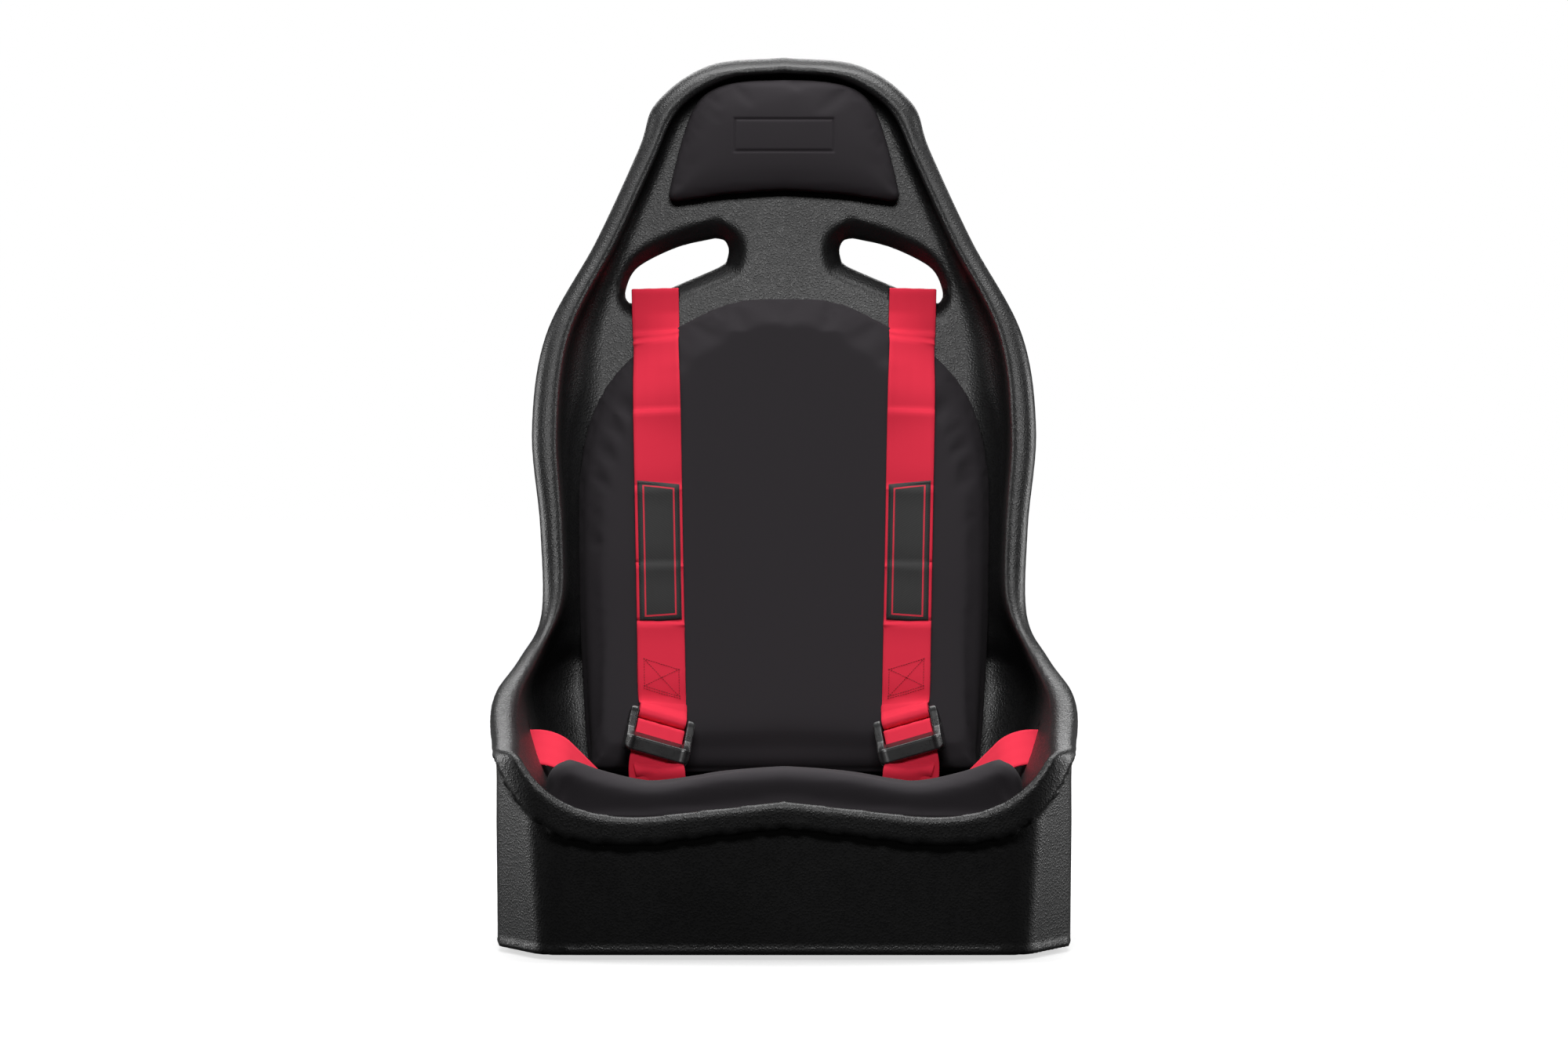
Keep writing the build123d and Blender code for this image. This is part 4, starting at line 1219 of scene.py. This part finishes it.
def along_strap(stations, first, last):
    """Distances along a stretch of stations, and a function that gives a place on its face."""
    stretch = stations[first:last]
    places = np.array([p[:] for p, _ in stretch])
    ways = np.array([a[:] for _, a in stretch])
    runs = np.gradient(places, axis=0)
    steps = np.concatenate([[0], np.cumsum(np.linalg.norm(np.diff(places, axis=0), axis=1))])

    def spot(across, along, lift):
        place, way, run = (
            Vector([np.interp(along, steps, data[:, i]) for i in range(3)]) for data in (places,
                ways, runs)
        )
        run.normalize()
        way = (way - run * way.dot(run)).normalized()
        return place + way * across + run.cross(way) * lift

    return steps, spot


def stitch_tree():
    """Stitches along a mesh's edges: a short rounded thread at each pitch."""
    tree = bpy.data.node_groups.new("Stitches", "GeometryNodeTree")
    tree.is_modifier = True
    tree.interface.new_socket("Geometry", in_out="INPUT", socket_type="NodeSocketGeometry")
    for label, default in (("Pitch", 0.0032), ("Length", 0.0026), ("Thread", 0.0007)):
        socket = tree.interface.new_socket(label, in_out="INPUT", socket_type="NodeSocketFloat")
        socket.default_value, socket.subtype = default, "DISTANCE"
    tree.interface.new_socket("Material", in_out="INPUT", socket_type="NodeSocketMaterial")
    tree.interface.new_socket("Geometry", in_out="OUTPUT", socket_type="NodeSocketGeometry")
    given, out = tree.nodes.new("NodeGroupInput").outputs, tree.nodes.new("NodeGroupOutput")
    line = add(tree, "GeometryNodeMeshToCurve", {"Mesh": given["Geometry"]}).outputs[0]
    dots = add(tree, "GeometryNodeCurveToPoints", {"Curve": line, "Length": given["Pitch"]},
        mode="LENGTH").outputs
    bead = add(tree, "GeometryNodeMeshUVSphere",
        {"Segments": 8, "Rings": 5, "Radius": 0.5}).outputs[0]
    size = add(
        tree, "ShaderNodeCombineXYZ",
            {"X": given["Thread"], "Y": given["Thread"], "Z": given["Length"]}
    ).outputs[0]
    thread = add(tree, "GeometryNodeTransform", {"Geometry": bead, "Scale": size}).outputs[0]
    placed = add(
        tree,
        "GeometryNodeInstanceOnPoints",
        {"Points": dots["Points"], "Instance": thread, "Rotation": dots["Rotation"]},
    ).outputs[0]
    real = add(tree, "GeometryNodeRealizeInstances", {"Geometry": placed}).outputs[0]
    smooth = add(tree, "GeometryNodeSetShadeSmooth", {"Geometry": real}).outputs[0]
    done = add(tree, "GeometryNodeSetMaterial",
        {"Geometry": smooth, "Material": given["Material"]}).outputs[0]
    tree.links.new(done, out.inputs["Geometry"])
    return tree


def stitched(name, lines, material, **sizes):
    """Stitches along lines of places in millimetres, as one plain mesh."""
    verts, edges = [], []
    for line in lines:
        edges += [(len(verts) + i, len(verts) + i + 1) for i in range(len(line) - 1)]
        verts += [p * MM for p in line]
    mesh = bpy.data.meshes.new(name)
    mesh.from_pydata(verts, edges, [])
    thing = bpy.data.objects.new(name, mesh)
    bpy.context.scene.collection.objects.link(thing)
    tree = bpy.data.node_groups.get("Stitches") or stitch_tree()
    sewing = thing.modifiers.new("sewing", "NODES")
    sewing.node_group = tree
    sockets = {
        item.name: item.identifier for item in tree.interface.items_tree if item.in_out == "INPUT"}
    sewing[sockets["Material"]] = material
    for label, value in sizes.items():
        sewing[sockets[label]] = value
    return made_real(thing)


def thread(name, colour):
    def build(tree, coords):
        twist = add(tree, "ShaderNodeTexNoise",
            {"Vector": coords["Object"], "Scale": 1500.0}).outputs["Fac"]
        return {
            "Base Color": blend_colours(tree, twist, rgba([c * 0.6 for c in colour]), rgba(colour)),
            "Roughness": spread(tree, twist, 0, 1, 0.5, 0.75),
            "Normal": bump(tree, twist, 0.0002, 0.6),
        }

    return finish_material(name, build)


def badge_cloth():
    looks = bpy.context.scene.seat_colours

    def build(tree, coords):
        weave = use_group(tree, "Woven ribs", Vector=coords["Object"], Rib_width=0.0009,
            Thread_pitch=0.0007)
        across, along = add(tree, "ShaderNodeSeparateXYZ", {0: coords["UV"]}).outputs[:2]
        cloth, edging = (0.012, 0.012, 0.012, 1), rgba(looks.webbing)

        def band(value, margin):
            above = maths(tree, "GREATER_THAN", value, margin)
            return maths(tree, "MULTIPLY", above, maths(tree, "LESS_THAN", value, 1.0 - margin))

        def inside(side_margin, end_margin):
            return maths(tree, "MULTIPLY", band(across, side_margin), band(along, end_margin))

        # one plain woven line all round, and nothing inside it
        outline = maths(tree, "SUBTRACT", inside(0.12, 0.035), inside(0.16, 0.047))
        colour = blend_colours(tree, outline, cloth, edging)
        # painted shade: the weave's grooves are darkened towards near-black and its crests keep the colour
        fuzz_and_groove_shade = spread(tree, weave["Height"], 0, 1, 0.75, 1.0)
        shaded = blend_colours(tree, maths(tree, "SUBTRACT", 1.0, fuzz_and_groove_shade), colour,
            (0.01, 0.01, 0.01, 1))
        return {
            "Base Color": shaded,
            "Roughness": spread(tree, weave["Thread"], 0, 1, 0.75, 0.55),
            "Normal": bump(tree, weave["Height"], 0.0002, 0.7),
        }

    return finish_material("badge_cloth", build, Sheen_Weight=0.15)


def put(thing, body, slot, material, *nodes):
    """Gives a finished piece its material, its body and what it stands for."""
    thing.data.materials.clear()
    thing.data.materials.append(material)
    if body:
        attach(thing, body)
    if nodes:
        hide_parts(*nodes)


def both_hands(thing, name):
    """A right-hand piece and its twin, as {side: object}."""
    thing.name = f"{name}_right"
    return {"right": thing, "left": opposite(thing, f"{name}_left")}


def side_point(point, side):
    x, y, z = point
    return (x * MM if side == "right" else -x * MM, y * MM, z * MM)


class SEAT_OT_shoulder_belts(Operator):
    """The shoulder belts, from their anchors over the slots' sills and down to the adjusters"""

    bl_idname = "seat.shoulder_belts"
    bl_label = "Shoulder belts"

    def execute(self, context):
        cover = bpy.data.objects["back_pad_cover"]
        stations, _, lead = shoulder_stations(cover)
        belts = both_hands(strap("belt", stations), "shoulder_webbing")
        for side, belt in belts.items():
            put(belt, None, "webbing", webbing(), f"shoulder_belt_{side}")
            anchor = back_plane(132.3, 490, BACK_THICKNESS + 6)
            start, end = anchor.at(0, 130), anchor.at(0, 62)
            side_point(start, side)
            side_point(end, side)
            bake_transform(belt)

        first = next(i for i, (p, _) in enumerate(stations) if i > 40 and p.z < 600)
        steps, spot = along_strap(stations, first, lead)
        heights = [stations[first + i][0].z for i in range(len(steps))]
        run_at = lambda z: float(np.interp(-z, [-h for h in heights], steps))
        self.sew_box(spot, run_at)
        self.sew_badge(spot, run_at)
        return {"FINISHED"}

    def sew_box(self, spot, run_at):
        """The crossed box of stitches that closes the belt's loop, a little askew."""
        lift = THICK / 2 + 0.15
        corner = {(w, end): (w, run_at(z)) for w, end, z in (
            (18, 0, 263), (-18, 0, 253), (18, 1, 236), (-18, 1, 225))}
        a, b, c, d = corner[18, 0], corner[-18, 0], corner[-18, 1], corner[18, 1]
        below = [(x, v + 2.6) for x, v in (d, c)]
        pairs = [(a, b), (b, c), (c, d), (d, a), (a, c), (b, d), below]
        lines = []
        for (x0, v0), (x1, v1) in pairs:
            n = max(2, int(hypot(x1 - x0, v1 - v0) / 1.5))
            lines.append(
                [spot(x0 + (x1 - x0) * i / n, v0 + (v1 - v0) * i / n, lift) for i in range(n + 1)])
        sewn = stitched("box", lines, thread("belt_thread", (0.35, 0.006, 0.02)), Pitch=0.0026,
            Length=0.0021)
        for side, piece in both_hands(sewn, "box_stitches").items():
            put(piece, "root", "webbing", thread("belt_thread", (0.35, 0.006, 0.02)))

    def sew_badge(self, spot, run_at):
        """The woven badge and the stitches round it."""
        width, length = BADGE_SIZE
        top = run_at(445)
        columns, rows = 12, 40
        verts, marks, faces = [], [], []
        for layer, lift in ((0, THICK / 2 + 0.1), (1, THICK / 2 + 0.1 + BADGE_THICK)):
            for j in range(rows + 1):
                for i in range(columns + 1):
                    u, v = i / columns, j / rows
                    edge = min(i, columns - i, j, rows - j)
                    raised = lift - (0.3 if edge == 0 and layer else 0.0)
                    lean = -8 * (u - 0.5)
                    verts.append(spot((u - 0.5) * width,
                        top + v * length + lean * (1 - 2 * v) * 0.5, raised) * MM)
                    marks.append((u, 1 - v))
        count = (rows + 1) * (columns + 1)
        for j in range(rows):
            for i in range(columns):
                a = j * (columns + 1) + i
                quad = (a, a + 1, a + columns + 2, a + columns + 1)
                faces += [quad[::-1], tuple(k + count for k in quad)]
        ring = [*range(columns + 1), *[(j + 1) * (columns + 1) - 1 for j in range(1, rows + 1)],
                *[count - 1 - i for i in range(1, columns + 1)],
                    *[j * (columns + 1) for j in range(rows - 1, 0, -1)]]
        faces += [(a, b, b + count, a + count) for a, b in zip(ring, [*ring[1:], ring[0]])]
        badge = mesh_object("badge", verts, faces)
        chart = badge.data.uv_layers.new(name="badge").data
        for loop in badge.data.loops:
            chart[loop.index].uv = marks[loop.vertex_index]
        right_way_out(badge)
        for side, piece in both_hands(badge, "badge").items():
            put(piece, "root", "badge", badge_cloth(), f"belt_badge_{side}")
        inset = 1.4
        border = [verts[k + count] / MM for k in ring]
        middle = sum(border, Vector()) / len(border)
        line = [p + (middle - p).normalized() * inset * 1.4 + Vector((0, -0.25, 0)) for p in border]
        sewn = stitched("edge", [[*line, line[0]]], thread("badge_thread", (0.03, 0.03, 0.03)),
            Pitch=0.0021, Length=0.0018)
        for side, piece in both_hands(sewn, "badge_stitches").items():
            put(piece, "root", "badge", thread("badge_thread", (0.03, 0.03, 0.03)))


class SEAT_OT_lower_belts(Operator):
    """The lower belts, up from the pan, over the adjusters' lock bars and down again"""

    bl_idname = "seat.lower_belts"
    bl_label = "Lower belts"

    def execute(self, context):
        plane = buckle_plane()
        turn = LOCK_LOOP - 0.1
        top = LOCK_LOOP - LOCK_DROP
        loop = path_in(
            plane,
            [(-LOOP, -34), (-LOOP, top), (LOCK_HEIGHT + LOCK_LOOP, top),
                (LOCK_HEIGHT + LOCK_LOOP, -33), (3.2, -46)],
            [turn, turn, 12],
        )
        foot = [(Vector((125, 86 - 1.2 * i, 118 + 4 * i)), Vector((1, 0, 0))) for i in range(8)]
        up = bridge(
            (foot[-1][0], foot[-1][0] - foot[-2][0], foot[-1][1]),
            (loop[0][0], loop[1][0] - loop[0][0], loop[0][1]),
        )
        end, before = loop[-1][0], loop[-2][0]
        out, down = Vector((0, -6.0, 0)), Vector((0, 0, -1))
        tail_end = end + down * 34 + out * 0.4
        tail = bridge((end, end - before, plane.x), (tail_end, down, Vector((0.97, -0.2, 0))))
        belt = strap("belt", [*foot, *up, *loop, *tail, (tail_end, Vector((0.97, -0.2, 0)))])
        for side, piece in both_hands(belt, "lower_webbing").items():
            put(piece, None, "webbing", webbing(), f"lower_belt_{side}")
            side_point((125, 82, 128), side)
            side_point((125, 92, 172), side)
            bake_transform(piece)
        return {"FINISHED"}


class SEAT_OT_lap_belts(Operator):
    """The lap belts, from their anchors up the sides and in through the hip slots"""

    bl_idname = "seat.lap_belts"
    bl_label = "Lap belts"

    def execute(self, context):
        plane = Plane((0, *HIP_SLOT), (1, 0, 0), (0, -cos(HIP_TILT), -sin(HIP_TILT)))
        reach = 94.0
        inside, outside = PLINTH_HALF + INNER_LAYER, PLINTH_HALF + OUTER_LAYER
        route = [
            (inside, SEWN_END - reach),
            (inside, WEBBING_SEAT - reach),
            (outside, WEBBING_SEAT - reach),
            (outside, 0),
            (226, 2),
            (166, -84),
        ]
        turn = (OUTER_LAYER - INNER_LAYER) / 2 - 0.1
        stations = [(plane.at(a, b), plane.z) for a, b in rounded_path(route, [turn, turn, 6, 42])]
        for side, piece in both_hands(strap("belt", stations), "lap_webbing").items():
            put(piece, None, "webbing", webbing(), f"lap_belt_{side}")
            side_point(plane.at(PLINTH_HALF, -16), side)
            side_point(plane.at(PLINTH_HALF, -44), side)
            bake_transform(piece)
        return {"FINISHED"}


# ------------------------------------------------------------------ adjusters and hardware
def adjuster_field(a, up, out):
    """The adjuster's frame: two cheeks, a top bar and a folded front plate. a runs along the bar."""
    across = np.abs(a)
    side = [(-4.6, 2.5), (-4.8, -40), (5, -46.5), (10.2, -46.5), (13.4, -35), (7.6, -22), (4.6, 3)]
    profile = outline_distance(np.array(side, float), out, up) - 1.2
    profile = join(profile, np.hypot(out, up) - 5.4, 2)
    cheek = meet(profile, np.abs(across - 30.2) - 4.3, 1.3)
    slide = outline_distance(
        np.array([(LOCK_HEIGHT - 2.9, -LOCK_DROP - 5.8), (LOCK_HEIGHT + 2.9, -LOCK_DROP - 5.8),
                  (LOCK_HEIGHT + 2.9, -LOCK_DROP + 2.9), (LOCK_HEIGHT - 2.9, -LOCK_DROP + 2.9)]),
                      out, up)
    cheek = meet(cheek, -slide, 0.6)
    fold = [(6.4, -25.5), (14.2, -34.2), (14.2, -36.0), (10.8, -47.5), (7.8, -47.5), (11.0, -35.4),
        (4.8, -28.0)]
    plate = meet(outline_distance(np.array(fold), out, up) - 0.5, across - 30, 0.8)
    bar = meet(np.hypot(out, up) - BAR_RADIUS, across - 30, 0.5)
    frame_shape = join(join(cheek, plate, 2.0), bar, 1.0)
    corner = meet(across - 34.5, np.abs(up + 21.2) - 27.5, 7)
    return meet(frame_shape, corner, 1.0)


def lathe(name, plane, rings, count=40):
    """A turned piece from (along, radius) rings about a plane's x axis."""
    verts, faces = [], []
    for along, radius in rings:
        for i in range(count):
            turn = 2 * pi * i / count
            verts.append(plane.at(along, cos(turn) * radius, sin(turn) * radius) * MM)
    for j in range(len(rings) - 1):
        for i in range(count):
            k = (i + 1) % count
            faces.append((j * count + i, j * count + k, (j + 1) * count + k, (j + 1) * count + i))
    faces += [tuple(range(count))[::-1], tuple(range((len(rings) - 1) * count, len(rings) * count))]
    thing = right_way_out(mesh_object(name, verts, faces))
    thing.data.polygons[-1].use_smooth = thing.data.polygons[-2].use_smooth = False
    return thing


class SEAT_OT_adjusters(Operator):
    """The adjusters: folded frames and the lock bars that slide in them"""

    bl_idname = "seat.adjusters"
    bl_label = "Adjusters"

    def execute(self, context):
        plane = buckle_plane()
        pitch = context.scene.seat_hardware.adjuster_pitch / MM * 1
        axes = [np.arange(low - 2.2 * pitch, high + 2.2 * pitch, pitch) for low,
            high in ((-35, 35), (-49, 8), (-8, 16))]
        places, faces = solid_from(adjuster_field, axes)
        spots = [plane.at(*spot) * MM for spot in places]
        steel = right_way_out(mesh_object("adjuster", spots, faces))
        for side, piece in both_hands(steel, "adjuster_body").items():
            put(piece, f"adjuster_{side}", "buckle_black", coated_black(), f"adjuster_frame_{side}")

        half, pin, r = 25.4, 34.0, LOCK_RADIUS
        rings = [(-pin, 1.9), (-pin + 0.6, 2.5), (-half, 2.5), (-half, r - 0.5), (-half + 0.5, r)]
        barrel = [(-half + 1 + i * 2 * (half - 1) / 24, r - 0.25 * (i % 2)) for i in range(25)]
        rings = [*rings, *barrel, *[(-a, radius) for a, radius in reversed(rings)]]
        axle = Plane(plane.at(0, -LOCK_DROP, LOCK_HEIGHT), plane.x, plane.z)
        for side, piece in both_hands(lathe("bar", axle, rings), "lock_bar_roller").items():
            put(piece, f"lock_bar_body_{side}", "lock_bar_steel",
                metal("lock_bar_steel", (0.42, 0.42, 0.43), 0.3, 0.5), f"lock_bar_{side}")
        return {"FINISHED"}


CARRIED_OVER = {
    "plug_plastic": ["vent_plug"],
    "hook_tape": ["back_pad_hook_tape", "head_pad_hook_tape", "seat_cushion_hook_tape"],
    "insert_brass": ["bottom_inserts", "side_inserts", "lap_anchor_inserts",
        "shoulder_anchor_inserts"],
    "bolt_steel": ["lap_anchor_bolts", "shoulder_anchor_bolts"],
    "washer_zinc": ["lap_anchor_washers", "shoulder_anchor_washers"],
    "anchor_steel": [f"{place}_anchor_plate_{side}" for place in ("lap",
        "shoulder") for side in ("left", "right")],
}


class SEAT_OT_fittings(Operator):
    """The finishes of the plates, bolts, washers, inserts, tapes and plug"""

    bl_idname = "seat.fittings"
    bl_label = "Fittings"

    def execute(self, context):
        finishes = {
            "plug_plastic": plug_plastic(),
            "hook_tape": hook_tape(),
            "insert_brass": metal("insert_brass", (0.72, 0.5, 0.2), 0.28, 0.5),
            "bolt_steel": metal("bolt_steel", (0.16, 0.16, 0.165), 0.32, 0.5),
            "washer_zinc": metal("washer_zinc", (0.6, 0.61, 0.63), 0.3, 0.6),
            "anchor_steel": metal("anchor_steel", (0.5, 0.51, 0.53), 0.34, 0.6, (1, 1, 12)),
        }
        for finish, nodes in CARRIED_OVER.items():
            for node in nodes:
                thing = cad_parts[node]
                if not thing.material_slots:
                    raise RuntimeError(f"{node} has no material slot")
                for place in thing.material_slots:
                    place.material = finishes[finish]
        return {"FINISHED"}


# ------------------------------------------------------------------ stage
def glowing_floor(settings):
    """Pale paint that shows soft shadows near the seat and brightens into the backdrop further off, by a painted
    glow that only the camera sees.
    """

    def build(tree, coords):
        far = add(tree, "ShaderNodeVectorMath", {0: coords["Object"]},
            operation="LENGTH").outputs["Value"]
        seen = add(tree, "ShaderNodeLightPath").outputs["Is Camera Ray"]
        tone = use_group(tree, "Patchy tone", Vector=coords["Object"], Patch_size=0.6)["Tone"]
        # painted light: the floor glows for camera rays, weakest near the seat and full white from 4.5 m out
        glow = spread(tree, far, 0.8, 4.5, settings.floor_glow, 1.0)
        return {
            "Emission Strength": maths(tree, "MULTIPLY", glow, seen),
            "Roughness": spread(tree, tone, 0, 1, 0.7, 0.8),
        }

    return finish_material(
        "glowing_floor",
        build,
        Base_Color=rgba(settings.floor_colour),
        Emission_Color=(1, 1, 1, 1),
        Specular_IOR_Level=0.1,
    )


class SEAT_OT_stage(Operator):
    """A pale floor, soft lights and the camera"""

    bl_idname = "seat.stage"
    bl_label = "Stage"

    def execute(self, context):
        settings = context.scene.seat_stage
        scene = context.scene
        scene.view_settings.view_transform = "Standard"
        around = [2 * pi * i / 64 for i in range(64)]
        rim = [(cos(a) * settings.floor_radius, sin(a) * settings.floor_radius,
            -0.0005) for a in around]
        floor = mesh_object("floor", rim, [range(64)], smooth=False)
        floor.data.materials.append(glowing_floor(settings))
        floor.visible_glossy = floor.visible_diffuse = False

        world = bpy.data.worlds.new("studio")
        scene.world = world
        world.use_nodes = True
        tree = world.node_tree
        seen = add(tree, "ShaderNodeLightPath").outputs["Is Camera Ray"]
        strength = add(tree, "ShaderNodeMapRange",
            {"Value": seen, "To Min": settings.surround, "To Max": 1.0})
        sky = tree.nodes["Background"]
        sky.inputs["Color"].default_value = (1, 1, 1, 1)
        tree.links.new(strength.outputs[0], sky.inputs["Strength"])

        for name, place, target, size, power in LIGHTS:
            lamp = bpy.data.lights.new(name, "AREA")
            lamp.shape, lamp.size, lamp.size_y = "RECTANGLE", *size
            lamp.energy = power * settings.light
            thing = bpy.data.objects.new(name, lamp)
            thing.location = place
            thing.rotation_euler = (Vector(target) - Vector(place)).to_track_quat("-Z",
                "Y").to_euler()
            scene.collection.objects.link(thing)

        eye = bpy.data.cameras.new("camera")
        eye.lens = settings.lens
        camera = bpy.data.objects.new("camera", eye)
        camera.location = (0, -settings.camera_distance, settings.camera_height)
        camera.rotation_euler = (pi / 2 - settings.camera_tilt, 0, 0)
        scene.collection.objects.link(camera)
        scene.camera = camera
        return {"FINISHED"}


# name, place, target, (width, height) in metres, power
LIGHTS = [
    ("front_softbox", (0, -2.4, 2.15), (0, 0.2, 0.62), (1.5, 0.7), 42.0),
    ("overhead_softbox", (0, 0.2, 2.5), (0, 0.0, 0.3), (2.0, 1.4), 60.0),
    ("left_strip", (-2.0, 0.35, 0.8), (0, 0.0, 0.45), (0.8, 1.6), 34.0),
    ("right_strip", (2.0, 0.35, 0.8), (0, 0.0, 0.45), (0.8, 1.6), 34.0),
    ("rear_softbox", (0, 2.6, 1.8), (0, 0.2, 0.5), (2.2, 1.2), 30.0),
]


# ------------------------------------------------------------------ add-on
SETTINGS = {"seat_colours": SeatColours, "seat_shell": SeatShell, "seat_pads": SeatPads,
    "seat_hardware": SeatHardware, "seat_stage": SeatStage}
STEPS = (
    SEAT_OT_shell,
    SEAT_OT_back_pad,
    SEAT_OT_head_pad,
    SEAT_OT_seat_cushion,
    SEAT_OT_shoulder_belts,
    SEAT_OT_lower_belts,
    SEAT_OT_lap_belts,
    SEAT_OT_adjusters,
    SEAT_OT_fittings,
    SEAT_OT_stage,
)


class SEAT_PT_panel(Panel):
    """The seat's settings and building steps"""

    bl_idname = "SEAT_PT_panel"
    bl_label = "Racing seat"
    bl_space_type = "VIEW_3D"
    bl_region_type = "UI"
    bl_category = "Racing seat"

    def draw(self, context):
        for name in SETTINGS:
            box = self.layout.box()
            for field in SETTINGS[name].__annotations__:
                box.prop(getattr(context.scene, name), field)
        for step in STEPS:
            self.layout.operator(step.bl_idname)


def register():
    for group in SETTINGS.values():
        bpy.utils.register_class(group)
    for name, group in SETTINGS.items():
        setattr(bpy.types.Scene, name, PointerProperty(type=group))
    for step in STEPS:
        bpy.utils.register_class(step)
    bpy.utils.register_class(SEAT_PT_panel)


def unregister():
    bpy.utils.unregister_class(SEAT_PT_panel)
    for step in reversed(STEPS):
        bpy.utils.unregister_class(step)
    for name in SETTINGS:
        delattr(bpy.types.Scene, name)
    for group in SETTINGS.values():
        bpy.utils.unregister_class(group)


def main():
    register()
    bpy.ops.seat.shell()
    bpy.ops.seat.back_pad()
    bpy.ops.seat.head_pad()
    bpy.ops.seat.seat_cushion()
    bpy.ops.seat.shoulder_belts()
    bpy.ops.seat.lower_belts()
    bpy.ops.seat.lap_belts()
    bpy.ops.seat.adjusters()
    bpy.ops.seat.fittings()
    bpy.ops.seat.stage()
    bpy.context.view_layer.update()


if __name__ == "__main__":
    main()
